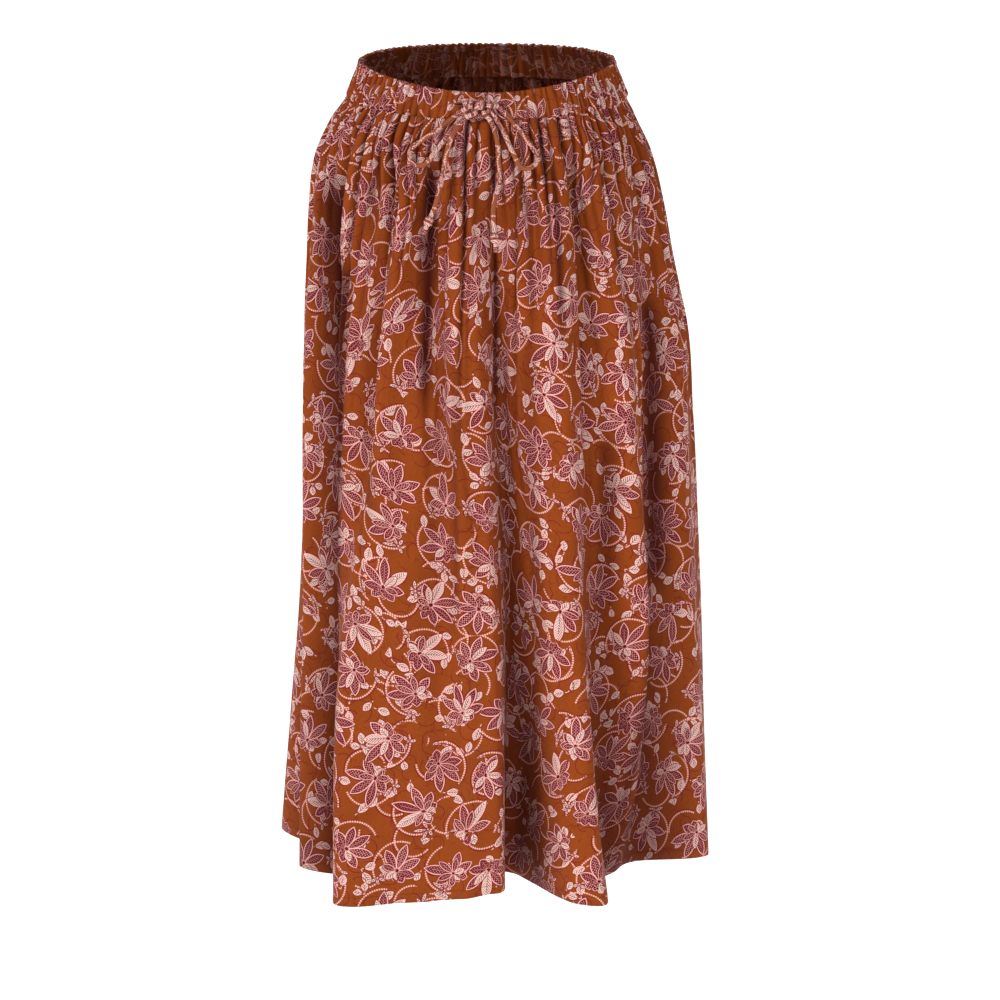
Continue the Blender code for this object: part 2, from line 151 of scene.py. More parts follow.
# The soft gathers, as in the solids. A wave varies them along a panel: its size, how many times it comes over
# the panel, and the angle it starts at. The cord lies on crests that stand out by FINE_HEIGHT more
Wave = namedtuple("Wave", "size count start")
SOFT_GATHERS = 12
SOFT_HEIGHT = 4.6
SOFT_SHIFT = Wave(0.22, 3, 1.0)
SOFT_REACH = 250
SOFT_REACH_WAVE = Wave(90, 5, 2.0)
SOFT_FADE = 1.5
LOW_WAVE = Wave(1.6, 6, 0.0)
LOW_WAVE_TURN = 0.004
FINE_HEIGHT_AT_SEAM = 1.5
FINE_HEIGHT = 3.5

# The fine gathers as they show: height in millimetres at the seam and below it, and how far down they reach.
# They fade below GATHER_TOP, and their sharp valleys turn round between the two drops of GATHER_ROUNDING
GATHER_HEIGHT_AT_SEAM = 2.8
GATHER_HEIGHT = 5.6
GATHER_REACH = (60, 330)
GATHER_LEAST_REACH = 25
GATHER_TOP = 18
GATHER_FADE = 1.6
GATHER_ROUNDING = (90, 330)

# How strongly shade is painted into a long fold's bottom: the depth in millimetres that it starts at, the
# further depth over which it grows, and its strength. Cloth that isn't modelled lies in folds deeper than
# SPARE_DEPTH, and ROW_CROWDING brings a panel's rows closer together towards its gathers
LONG_SHADE_START = 4
LONG_SHADE_SPAN = 42
LONG_SHADE = 0.8
SPARE_DEPTH = 25
ROW_CROWDING = 1.4

# Creases on the front: the drops each starts and ends at, its turn there, half its width in degrees, its
# depth in millimetres and how strongly shade is painted into its bottom
Crease = namedtuple("Crease", "drops turns half depth dark")
CREASES = (
    Crease((50, 762), (-70.5, -66), 7.0, 2.0, 1.0),
    Crease((120, 710), (-56.0, -54), 6.5, 5.0, 1.0),
    Crease((20, 300), (-24.5, -22.5), 3.0, 4.5, 1.0),
    Crease((-20, 330), (3.5, 4.5), 2.6, 4.0, 1.0),
    Crease((180, 720), (14.5, 19), 4.5, 2.5, 0.4),
    Crease((10, 240), (27.5, 25), 2.6, 3.5, 0.85),
    Crease((10, 150), (36.5, 35), 2.0, 3.0, 0.8),
    Crease((10, 120), (14.5, 14), 2.0, 3.0, 0.8),
    Crease((10, 110), (-13.5, -13), 2.0, 3.0, 0.8),
    Crease((10, 170), (-36, -36), 2.4, 3.0, 0.8),
    Crease((10, 140), (-48, -47), 2.4, 3.0, 0.8),
    Crease((10, 200), (50, 49), 2.4, 3.0, 0.6),
    Crease((280, 560), (42.5, 42), 4.0, 3.0, 0.6),
    Crease((160, 520), (65.5, 67), 4.5, 2.0, 1.0),
    Crease((400, 762), (55, 52), 5.0, 2.0, 0.8),
    Crease((200, 520), (-10.5, -12), 3.5, 2.0, 0.35),
    Crease((160, 420), (-40, -38), 3.5, 2.0, 0.35),
)

# How much of the print shows on the cloth's reverse and on the cord, and the tone that is mixed into each
REVERSE = {"strength": 0.45, "tone": (0.2, (0.02, 0.006, 0.003, 1))}
CORD = {"strength": 1.0, "tone": (0.12, (0.75, 0.40, 0.28, 1))}

# The drawstring, in millimetres. Its routes are x, z and the lift off the crests of the cloth. CORD_ROUND is
# the cloth round it, its puckers add up waves of PUCKER_RATES along it, and SEAM_DEPTH is a share of its
# radius
CORD_WIDTH = 4.6
CORD_ROUND = 14.5
CORD_GAP = 0.35
PUCKER_RATES = (0.9, 1.7, 2.9, 4.3)
SEAM_DEPTH = 0.08
KNOT_MIDDLE = (-7.0, -11.0)
KNOT_LIFT = 7.8
KNOT_HALF = (7.0, 5.4, 6.0)
KNOT_TURNS = 1.6
KNOT_LEAD = 3
SLIT_LEAD = 1.5
SLIT_LIFT = -0.75

# The way a strand leaves the knot (across, outwards and up), its route, and the way a loop comes back to the
# knot
Leaving = namedtuple("Leaving", "across out up")
Strand = namedtuple("Strand", "leaving route back", defaults=[None])
SLIT_CORDS = {
    "left": Strand(Leaving(-0.75, -0.60, 0.30), [(-21.5, -11.0, SLIT_LIFT)]),
    "right": Strand(Leaving(0.75, -0.62, 0.30), [(7.5, -11.5, SLIT_LIFT)]),
}
LEFT_LOOP = [
    (-22, -16, 2.5), (-30, -21.6, 1.5), (-39, -28, 1), (-48, -34.4, 0.6), (-57, -40.7, 0.4), (-63, -45, 0.3),
    (-67.9, -48.4, 0.3), (-70.6, -51.4, 0.3), (-71.8, -56, 0.4), (-70.6, -60.7, 0.5), (-67.2, -64.1, 0.5),
    (-62.5, -65.3, 0.5), (-57.9, -64.1, 0.4), (-55.2, -61.8, 0.3), (-49.5, -54.6, 0.2), (-43, -46.4, 0.2),
    (-36.5, -38.2, 0.3), (-30, -30, 0.6), (-23, -22, 1.2),
]
RIGHT_LOOP = [
    (9, -11.5, 3), (16, -18, 2), (23, -25.5, 1), (30, -33.5, 0.5), (37, -42, 0.2), (43.2, -50.5, 0.3),
    (45.7, -54.3, 0.3), (46.2, -59.1, 0.4), (44.1, -63.5, 0.6), (40.2, -66.2, 0.6), (35.4, -66.7, 0.6),
    (31, -64.6, 0.4), (28.6, -61.4, 0.3), (25, -55, 0.3), (21, -47, 0.3), (17, -38, 0.3), (12, -29, 0.7),
    (7, -21.5, 1.7),
]
LOOPS = {
    "left": Strand(Leaving(-0.93, 0.35, -0.05), LEFT_LOOP, Leaving(-0.72, -0.30, -0.62)),
    "right": Strand(Leaving(0.93, 0.35, 0.05), RIGHT_LOOP, Leaving(0.72, -0.30, -0.62)),
}
LEFT_TAIL = [
    (-17, -20, 5.5), (-25, -26.5, 7), (-31, -35, 6.8), (-35, -44, 5), (-37.5, -54, 2.2), (-39, -63, 0.6),
    (-41, -73, 0.2), (-43.5, -83, 0), (-46, -93, 0), (-48.5, -102, 0), (-52, -110, 0),
]
RIGHT_TAIL = [
    (2, -23, 4), (6, -30, 3.5), (8.5, -38, 2.5), (10, -47, 1.2), (10.5, -57, 0.5), (12, -68, 0.2),
    (11, -79, 0), (8, -90, 0), (6, -101, 0), (6, -112, 0), (7, -124, 0),
]
TAILS = {
    "left": Strand(Leaving(-0.42, 0.50, -0.76), LEFT_TAIL),
    "right": Strand(Leaving(0.42, 0.50, -0.76), RIGHT_TAIL),
}

# A buttonhole, in millimetres: half its width and height, how far its middle is from the cord's, how far its
# sewn edge and the dark sheet painted as the shadow in its slit stand out, and the sewn edge's half thickness
BUTTONHOLE_HALF = (6.4, 1.5)
BUTTONHOLE_SHIFT = 2.5
BUTTONHOLE_OUT = 0.9
SLIT_OUT = 0.7
THREAD_HALF = 0.6
THREAD_COLOUR = (0.27, 0.045, 0.012, 1)
# The slit's near-black is painted shadow of its opening
SLIT_PAINTED_SHADOW = (0.02, 0.005, 0.003, 1)

# A tail's end knot and the cut tip below it, as a turned section: how far down and how wide from its middle
END_SECTION = [
    (0.0, 2.1), (0.8, 3.2), (2.0, 4.2), (3.2, 4.5), (4.2, 4.1), (5.0, 4.4), (6.4, 4.3), (7.6, 3.5),
    (8.4, 2.5), (9.2, 2.1), (11.0, 2.1), (14.0, 2.3), (16.6, 2.6), (17.4, 2.3), (17.6, 0.0),
]

# The print's rings of petals or leaves, in millimetres: how many, where they start, their length and half
# width, how much shorter the back ones are, and the shares that are left out and pale
Ring = namedtuple("Ring", "petals start length half fan missing pale")
OUTER_PETALS = Ring(8.0, 0.0, 30.0, 5.0, 0.62, 0.04, 0.1)
INNER_PETALS = Ring(6.0, 0.0, 20.5, 3.4, 0.5, 0.35, 0.42)
TWIG = Ring(6.0, 1.0, 12.0, 1.4, 0.6, 0.4, 1.0)

# Parts of circles: radius, the angle of the middle, half the angle that shows, and the share with a line
# beside it
Arc = namedtuple("Arc", "radius middle reach lined", defaults=[0.0])
FLOWER_ARC = Arc(25.0, 0.9, 1.35, 0.4)
LOOSE_ARC = Arc(19.0, 0.4, 1.5, 0.5)
LOOSE_CURL = Arc(11.0, -0.6, 1.9)

# The leaf sprigs: pitch as a share of the leaf pitch, shift and turn of their pattern, their leaves and their
# curl
Sprig = namedtuple("Sprig", "pitch shift turn leaves curl")
SPRIGS = (
    Sprig(1.0, 13.0, 0.5, Ring(5.0, 3.0, 15.5, 4.2, 0.15, 0.81, 1.0), Arc(9.24, 1.2, 1.3)),
    Sprig(0.9, 41.0, 1.1, Ring(5.0, 2.0, 13.0, 3.5, 0.15, 0.85, 1.0), Arc(7.7, 1.2, 1.3)),
)

# How a petal is drawn, in millimetres: how fast its checks and hatching repeat, how far inside its edge the
# checks stay, its rib's and stem's half widths and the dark line round it. Along it, as shares of its length:
# where the rib and the hatching end and the maroon base. Its outline is a share of its half width
CHECK_RATE = 2.1
HATCH_RATE = 2.3
CHECK_MARGIN = 1.4
RIB_HALF = 0.3
STEM_HALF = 0.5
DARK_LINE = 0.8
RIB_END = 0.72
HATCH_END = 0.9
PETAL_BASE = 0.09
OUTLINE_SHARE = 0.22

# Beads and lines of the print, in millimetres
BEAD_PITCH = 2.4
BEAD_RADIUS = 0.95
BESIDE_BEADS = 1.9
LINE_HALF = 0.55
CURL_HALF = 0.45

# The cotton's finish: threads to the millimetre across and down, and the colours of a hem stitch, of the
# painted shade in a fold's bottom, as what the colour is multiplied by, and of the sheen
WARP = 2.2
WEFT = 2.0
STITCH_PITCH = 2.6
STITCH_COLOUR = (0.08, 0.014, 0.006, 1)
FOLD_SHADE = (0.2, 0.1, 0.1, 1)
SHEEN_TINT = (1.0, 0.75, 0.6, 1)

# The photograph's view, in metres
CAMERA = Vector((0.012, -3.6, 0.50))
TARGET = Vector((0.012, 0.0, -0.4155))
PICTURE_WIDTH = 0.98
SENSOR = 36

# The studio, in metres: each light's place and size, and the floor, whose section curves up into a backdrop
Lamp = namedtuple("Lamp", "place size")
KEY = Lamp((-3.3, -2.6, 2.5), 1.3)
FILL = Lamp((1.6, -3.8, 0.4), 2.0)
FLOOR_DROP = 0.45
FLOOR_HALF_WIDTH = 7.0
FLOOR_FRONT = -6.0
CURVE_START = 4.8
CURVE = 1.0
BACKDROP_TOP = 5.0


class SkirtSizes(bpy.types.PropertyGroup):
    """Sizes of the cloth and the cord."""

    cloth: FloatProperty(name="Cloth", description="Thickness of the cotton", default=0.0005, unit="LENGTH")
    casing: FloatProperty(
        name="Casing", description="Thickness of the ruched casing", default=0.0026, unit="LENGTH"
    )
    columns: IntProperty(name="Columns", description="Points across one panel", default=440, min=100, max=440)
    rows: IntProperty(name="Rows", description="Points down one panel", default=108, min=40, max=112)
    gathers: IntProperty(
        name="Gathers", description="Fine gathers along one panel", default=42, min=10, max=60
    )
    casing_columns: IntProperty(
        name="Casing columns", description="Points round the casing", default=1080, min=200
    )
    ruches: IntProperty(name="Ruches", description="Ruches round the waist casing", default=108, min=20)
    ruche: FloatProperty(name="Ruche", description="Height of a ruche", default=0.0031, unit="LENGTH")
    front_cut: FloatProperty(
        name="Front cut", description="Width the front panel is cut to", default=0.90, unit="LENGTH"
    )
    back_cut: FloatProperty(
        name="Back cut", description="Width the back panel is cut to", default=0.98, unit="LENGTH"
    )
    casing_cut: FloatProperty(
        name="Casing cut", description="Length the casing is cut to, before its elastic draws it up",
        default=1.3, unit="LENGTH",
    )
    cut_length: FloatProperty(
        name="Cut length", description="Length of both panels", default=0.79, unit="LENGTH"
    )
    hem: FloatProperty(name="Hem", description="Depth of the turned hem", default=0.009, unit="LENGTH")
    cord: FloatProperty(name="Cord", description="Thickness of the drawstring", default=0.0046, unit="LENGTH")


class PrintLook(bpy.types.PropertyGroup):
    """Colours and scale of the printed cotton."""

    ground: FloatVectorProperty(
        name="Ground", description="Rust ground of the cotton", subtype="COLOR", size=4,
        default=(0.35, 0.067, 0.007, 1),
    )
    maroon: FloatVectorProperty(
        name="Maroon", description="Dark fill of the petals", subtype="COLOR", size=4,
        default=(0.165, 0.002, 0.013, 1),
    )
    pink: FloatVectorProperty(
        name="Pink", description="Outlines and beads", subtype="COLOR", size=4, default=(0.95, 0.47, 0.41, 1)
    )
    pale: FloatVectorProperty(
        name="Pale", description="White petals and leaves", subtype="COLOR", size=4,
        default=(0.97, 0.68, 0.60, 1),
    )
    line: FloatVectorProperty(
        name="Line", description="Thin red lines", subtype="COLOR", size=4, default=(0.22, 0.018, 0.012, 1)
    )
    flower_pitch: FloatProperty(
        name="Flower pitch", description="From one flower to the next", default=0.052, unit="LENGTH"
    )
    leaf_pitch: FloatProperty(
        name="Leaf pitch", description="From one leaf sprig to the next", default=0.033, unit="LENGTH"
    )


class StageLook(bpy.types.PropertyGroup):
    """The studio."""

    floor: FloatVectorProperty(
        name="Floor", description="Pale floor and backdrop", subtype="COLOR", size=4,
        default=(0.92, 0.92, 0.92, 1),
    )
    key: FloatProperty(
        name="Key light", description="Strength of the large light on the left", default=126.0, min=0
    )
    fill: FloatProperty(
        name="Fill light", description="Strength of the soft light on the right", default=50.0, min=0
    )
    glow: FloatProperty(
        name="Paper glow", description="Strength of the light in the backdrop", default=0.75, min=0
    )
    sky: FloatProperty(name="Sky", description="Strength of the even light all round", default=0.2, min=0)


def ease(value, start, end):
    """0 before start, 1 after end, and a smooth rise between them."""
    share = np.clip((value - start) / (end - start), 0.0, 1.0)
    return share * share * (3 - 2 * share)


def through(at, places, values):
    """A smooth curve through the values at the places, read at `at`."""
    places = np.asarray(places, float)
    values = np.asarray(values, float)
    slopes = np.gradient(values, places)
    at = np.clip(at, places[0], places[-1])
    cell = np.clip(np.searchsorted(places, at, side="right") - 1, 0, len(places) - 2)
    width = places[cell + 1] - places[cell]
    t = (at - places[cell]) / width
    return (
        (1 + 2 * t) * (1 - t) ** 2 * values[cell]
        + t * (1 - t) ** 2 * width * slopes[cell]
        + t * t * (3 - 2 * t) * values[cell + 1]
        + t * t * (t - 1) * width * slopes[cell + 1]
    )


def running_length(points):
    """How far along a line each of its points lies."""
    return np.concatenate([[0], np.cumsum(np.linalg.norm(np.diff(points, axis=0), axis=1))])


def points_at(at, along, points):
    """The points of a line that lie that far along it."""
    return np.stack([np.interp(at, along, column) for column in points.T], axis=1)


def level_size(drop, column):
    return through(drop, [level.drop for level in LEVELS], [getattr(level, column) for level in LEVELS])


def long_folds(drop, turn):
    """How far the long folds lie inside the outline and go sideways, in millimetres, at one drop."""
    inside = np.zeros_like(turn)
    sideways = np.zeros_like(turn)
    down = min(max((drop - STATIONS[0]) / (STATIONS[-1] - STATIONS[0]), 0.0), 1.0)
    for fold in FOLDS.values():
        middle = through(drop, STATIONS, fold.turns)
        depth = through(drop, STATIONS, fold.depths) * ease(drop, 12, 80)
        away = (turn - middle + 180) % 360 - 180
        left, right = (hip + (hem - hip) * down for hip, hem in zip(fold.hip, fold.hem))
        reach = np.clip(away / np.where(away < 0, left, right), -1, 1)
        form = depth * (0.5 + 0.5 * np.cos(math.pi * reach))
        inside += form
        sideways += form * fold.lean
    return inside, sideways


def creases(drop, turn):
    """How deep the creases are, in millimetres, and how strongly shade is painted into them, at each turn of
    one drop.
    """
    deep = np.zeros_like(turn)
    dark = np.zeros_like(turn)
    for crease in CREASES:
        start, end = crease.drops
        middle = np.interp(drop, crease.drops, crease.turns)
        shown = ease(drop, start, start + 45) * (1 - ease(drop, end - 80, end) * (end < PANEL_LENGTH))
        form = ease(np.abs(turn - middle), crease.half, 0) * shown
        deep += crease.depth * form
        dark = np.maximum(dark, crease.dark * form)
    return deep, dark


def outline(drop, turn):
    """Points of the folded section at one drop, in metres, before the gathers are added."""
    angle = np.radians(turn)
    across, along = np.sin(angle), -np.cos(angle)
    side = np.where(across < 0, level_size(drop, "left"), level_size(drop, "right"))
    depth = np.where(along < 0, level_size(drop, "front"), level_size(drop, "back"))
    power = level_size(drop, "squareness")
    radius = (np.abs(across / side) ** power + np.abs(along / depth) ** power) ** (-1 / power)
    inside, sideways = long_folds(drop, turn)
    radius = radius - inside
    return np.stack([across * radius - along * sideways, along * radius + across * sideways], axis=1) * MM


def wave(shape, share, further=0.0):
    return shape.size * np.sin(2 * math.pi * shape.count * share + shape.start + further)


def soft_height(drop):
    return SOFT_HEIGHT * ease(drop, 4, 60)


class Gathers:
    """One panel's fine gathers: each has its own place, width, height and reach, fixed by the seed."""

    def __init__(self, seed, count):
        random = np.random.default_rng(seed)
        self.count = count
        widths = random.uniform(0.62, 1.45, count)
        edges = np.concatenate([[0], np.cumsum(widths)])
        self.edges = edges / edges[-1]
        self.heights = random.uniform(0.6, 1.25, count + 1)
        low, high = GATHER_REACH
        self.reaches = low + (high - low) * random.uniform(0, 1, count + 1) ** 1.7
        self.drifts = random.uniform(-0.45, 0.45, count + 1)
        self.drifts[[0, -1]] = 0

    def place(self, drop, share):
        """Which gather a share of the panel is in, as a running number that drifts sideways further down."""
        number = np.interp(share, self.edges, np.arange(self.count + 1))
        return np.clip(number + self.along(number, self.drifts) * ease(drop, 20, 200), 0, self.count)

    def along(self, number, values):
        """A smooth run through one value for each gather, read at running numbers."""
        return through(number, np.arange(self.count + 1), values)

    def fade(self, drop, number):
        """How much of each gather is left at a drop, from 1 to 0."""
        reach = np.maximum(self.along(number, self.reaches), GATHER_LEAST_REACH)
        return np.exp(-((max(drop - GATHER_TOP, 0) / reach) ** GATHER_FADE))

    def fine(self, drop, share):
        """How far the fine gathers stand out, in millimetres: round crests with sharp valleys between."""
        number = self.place(drop, share)
        height = GATHER_HEIGHT_AT_SEAM + (GATHER_HEIGHT - GATHER_HEIGHT_AT_SEAM) * ease(drop, 0, 22)
        crest = 2 * np.abs(np.sin(math.pi * number)) ** 0.6 - 1.2
        round_crest = -np.cos(2 * math.pi * number)
        sharp = 1 - ease(drop, *GATHER_ROUNDING)
        form = crest * sharp + round_crest * (1 - sharp)
        return self.along(number, self.heights) * height * self.fade(drop, number) * form

    def depth(self, drop, share):
        """From 0 on a crest to 1 in a valley."""
        return (1 + np.cos(2 * math.pi * self.place(drop, share))) / 2

    def dark(self, drop, share):
        """How strongly shade is painted into a fine gather's valley, from 0 to 1."""
        number = self.place(drop, share)
        tall = np.clip((self.along(number, self.heights) - 0.6) / 0.6, 0, 1)
        valley = np.clip(1.2 - (2.6 - 1.4 * tall) * np.abs(np.sin(math.pi * number)), 0, 1)
        return valley * self.fade(drop, number) * (0.45 + 0.55 * tall)

    def all(self, drop, share):
        reach = SOFT_REACH + wave(SOFT_REACH_WAVE, share)
        soft = soft_height(drop) * np.exp(-((max(drop - 60, 0) / reach) ** SOFT_FADE))
        soft = soft * np.cos(2 * math.pi * (SOFT_GATHERS * share + wave(SOFT_SHIFT, share)))
        low = ease(drop, 200, 500) * wave(LOW_WAVE, share, LOW_WAVE_TURN * drop)
        return self.fine(drop, share) + soft + low


def waist_height(turn):
    """Height of the casing's middle line, which dips towards the front."""
    facing = np.cos(np.radians(turn))
    return -(WAIST_LOW_AT_FRONT + WAIST_DIP * facing) * facing


def casing_height(turn):
    """The casing is less tall across the front, where the cord pulls it together."""
    facing = np.clip(np.cos(np.radians(turn)), 0, 1) ** 2
    return CASING_HEIGHT + (CASING_HEIGHT_AT_FRONT - CASING_HEIGHT) * facing


def hem_height(turn):
    """Height of the hem, which hangs a little higher where the cloth is caught up."""
    turns, lifts = zip(*HEM_LIFTS)
    lift = through((np.asarray(turn, float) + 180) % 360 - 180, turns, lifts) * MM
    return HEM_LEVEL + HEM_RISE_AT_BACK * (1 - np.cos(np.radians(turn))) / 2 + lift


def panel_ring(drop, start, end, columns, pleats):
    """One row of a panel's outer face, spread evenly along the cloth.

    With it come how deep in the long folds each point lies, and how strongly shade is painted into the
    creases there.
    """
    turn = np.linspace(start - SEAM_OVERRUN, end + SEAM_OVERRUN, 3600)
    line = outline(drop, turn)
    along = running_length(line)
    first, last = np.interp((start, end), turn, along)
    share = np.linspace(0, 1, columns)
    at = first + share * (last - first)
    points = points_at(at, along, line)
    turns = np.interp(at, along, turn)
    ahead, behind = (points_at(at + reach, along, line) for reach in (GATHER_SPAN, -GATHER_SPAN))
    chord = ahead - behind
    length = np.linalg.norm(chord, axis=1)
    outward = np.stack([chord[:, 1], -chord[:, 0]], axis=1) / length[:, None]
    straight = ease(length / (2 * GATHER_SPAN), 0.7, 0.97)
    deep, dark = creases(drop, turns)
    points += outward * ((pleats.all(drop, share) - deep) * straight * MM)[:, None]
    top = waist_height(turns) - casing_height(turns) / 2 + SEAM_TUCK
    height = top + (hem_height(turns) - top) * drop / PANEL_LENGTH
    inside = long_folds(drop, turns)[0]
    return np.column_stack([points, height]), inside, dark


def cloth_across(points, hidden, cut):
    """Where each point of a row lies across the flat cloth, in metres from its middle.

    The cloth that the folds take up beyond what is modelled lies in their valleys.
    """
    steps = np.linalg.norm(np.diff(points, axis=0), axis=1)
    steps = steps * min(1, cut / steps.sum())
    spare = cut - steps.sum()
    share = (hidden[1:] + hidden[:-1]) / 2 + 0.02
    steps = steps + spare * share / share.sum()
    across = np.concatenate([[0], np.cumsum(steps)])
    return across - across[-1] / 2


def add_mesh(name, points, faces, materials, cloth_places=None):
    """A smooth piece, with its print map in metres at the corners of its faces."""
    mesh = bpy.data.meshes.new(name)
    mesh.from_pydata(np.reshape(points, (-1, 3)).tolist(), [], faces)
    if cloth_places is not None:
        cloth = mesh.uv_layers.new(name="cloth")
        cloth.uv.foreach_set("vector", np.array(cloth_places, np.float32).ravel())
    mesh.shade_smooth()
    for material in materials:
        mesh.materials.append(material)
    return add_object(name, mesh)


def add_object(name, data):
    made = bpy.data.objects.new(name, data)
    bpy.context.scene.collection.objects.link(made)
    return made


def stand_for(made, node):
    """Puts a piece in the place of the node it stands for."""
    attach(made, "root")
    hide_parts(node)


def add_sheet(name, rows, cloth_places, painted_fold_shade, materials, wall, closed=False):
    """A cloth sheet through rows of points, given a wall towards its inside.

    It carries its print map in metres and, from 0 to 1, how strongly shade is painted at each point, most in
    the bottoms of folds.
    """
    rows = np.asarray(rows)
    lines, count = rows.shape[:2]
    spans = count if closed else count - 1
    down, over = np.meshgrid(np.arange(lines - 1), np.arange(spans), indexing="ij")
    after = (over + 1) % count
    corners = [(down, over), (down + 1, over), (down + 1, after), (down, after)]
    faces = np.stack([row * count + column for row, column in corners], axis=-1).reshape(-1, 4)
    places = np.asarray(cloth_places)
    map_corners = [(down, over), (down + 1, over), (down + 1, over + 1), (down, over + 1)]
    spots = np.stack([places[row, column] for row, column in map_corners], axis=2)
    made = add_mesh(name, rows, faces.tolist(), materials, spots)
    # The fold attribute holds painted shade, which the cloth's material multiplies into the print
    fold = made.data.attributes.new(name="fold", type="FLOAT", domain="POINT")
    fold.data.foreach_set("value", np.clip(np.asarray(painted_fold_shade, np.float32), 0, 1).ravel())
    thicken = made.modifiers.new("wall", "SOLIDIFY")
    thicken.thickness = wall
    thicken.offset = -1
    thicken.material_offset = 1
    return made


class ClothNodes:
    """Short ways to add nodes to one tree."""

    def __init__(self, tree):
        self.tree = tree

    def add(self, kind, **settings):
        node = self.tree.nodes.new(kind)
        for name, value in settings.items():
            setattr(node, name, value)
        return node

    def put(self, socket, value):
        if isinstance(value, bpy.types.NodeSocket):
            self.tree.links.new(value, socket)
        else:
            socket.default_value = value

    def fed(self, kind, values, **settings):
        """A node of one kind with values in its named inputs."""
        node = self.add(kind, **settings)
        for name, value in values.items():
            self.put(node.inputs[name], value)
        return node

    def in_order(self, node, values):
        """Puts values in a node's inputs, one after the other, and gives its first output."""
        for socket, value in zip(node.inputs, values):
            self.put(socket, value)
        return node.outputs[0]

    def reckon(self, operation, *values, clamp=False):
        return self.in_order(self.add("ShaderNodeMath", operation=operation, use_clamp=clamp), values)

    times = partialmethod(reckon, "MULTIPLY")
    minus = partialmethod(reckon, "SUBTRACT")
    plus = partialmethod(reckon, "ADD")
    scaled = partialmethod(reckon, "MULTIPLY_ADD")
    below = partialmethod(reckon, "LESS_THAN")
    above = partialmethod(reckon, "GREATER_THAN")
    largest = partialmethod(reckon, "MAXIMUM")
    size = partialmethod(reckon, "ABSOLUTE")
    sine = partialmethod(reckon, "SINE")
    cosine = partialmethod(reckon, "COSINE")
    angle = partialmethod(reckon, "ARCTAN2")

    def vector(self, operation, *values):
        return self.in_order(self.add("ShaderNodeVectorMath", operation=operation), values)

    def length(self, vector):
        node = self.add("ShaderNodeVectorMath", operation="LENGTH")
        self.put(node.inputs[0], vector)
        return node.outputs["Value"]

    def blend(self, kind, share, under, over):
        node = self.add("ShaderNodeMix", data_type="RGBA", blend_type=kind)
        values = {"Factor_Float": share, "A_Color": under, "B_Color": over}
        for socket in node.inputs:
            if socket.identifier in values:
                self.put(socket, values[socket.identifier])
        return next(socket for socket in node.outputs if socket.identifier == "Result_Color")

    def mix(self, share, under, over):
        return self.blend("MIX", share, under, over)

    def shade(self, colour, by):
        """A colour multiplied by another."""
        return self.blend("MULTIPLY", 1.0, colour, by)

    def split(self, vector):
        node = self.add("ShaderNodeSeparateXYZ")
        self.put(node.inputs[0], vector)
        return node.outputs

    def join(self, x, y):
        return self.in_order(self.add("ShaderNodeCombineXYZ"), (x, y))

    def inside(self, depth, soft=0.35):
        """1 where a depth in millimetres is over 0, with a soft edge."""
        return self.scaled(depth, 1 / soft, 0.5, clamp=True)

    def cut_off(self, value, limit, soft=0.35):
        """1 where a value is over a limit, with a soft edge."""
        return self.inside(self.minus(value, limit), soft)


RING_INPUTS = {
    "Vector": ("Place",),
    "Float": ("Seed", "Petals", "Start", "Length", "Half width", "Fan", "Missing", "Pale share"),
    "Color": ("Maroon", "Pink", "Pale"),
}


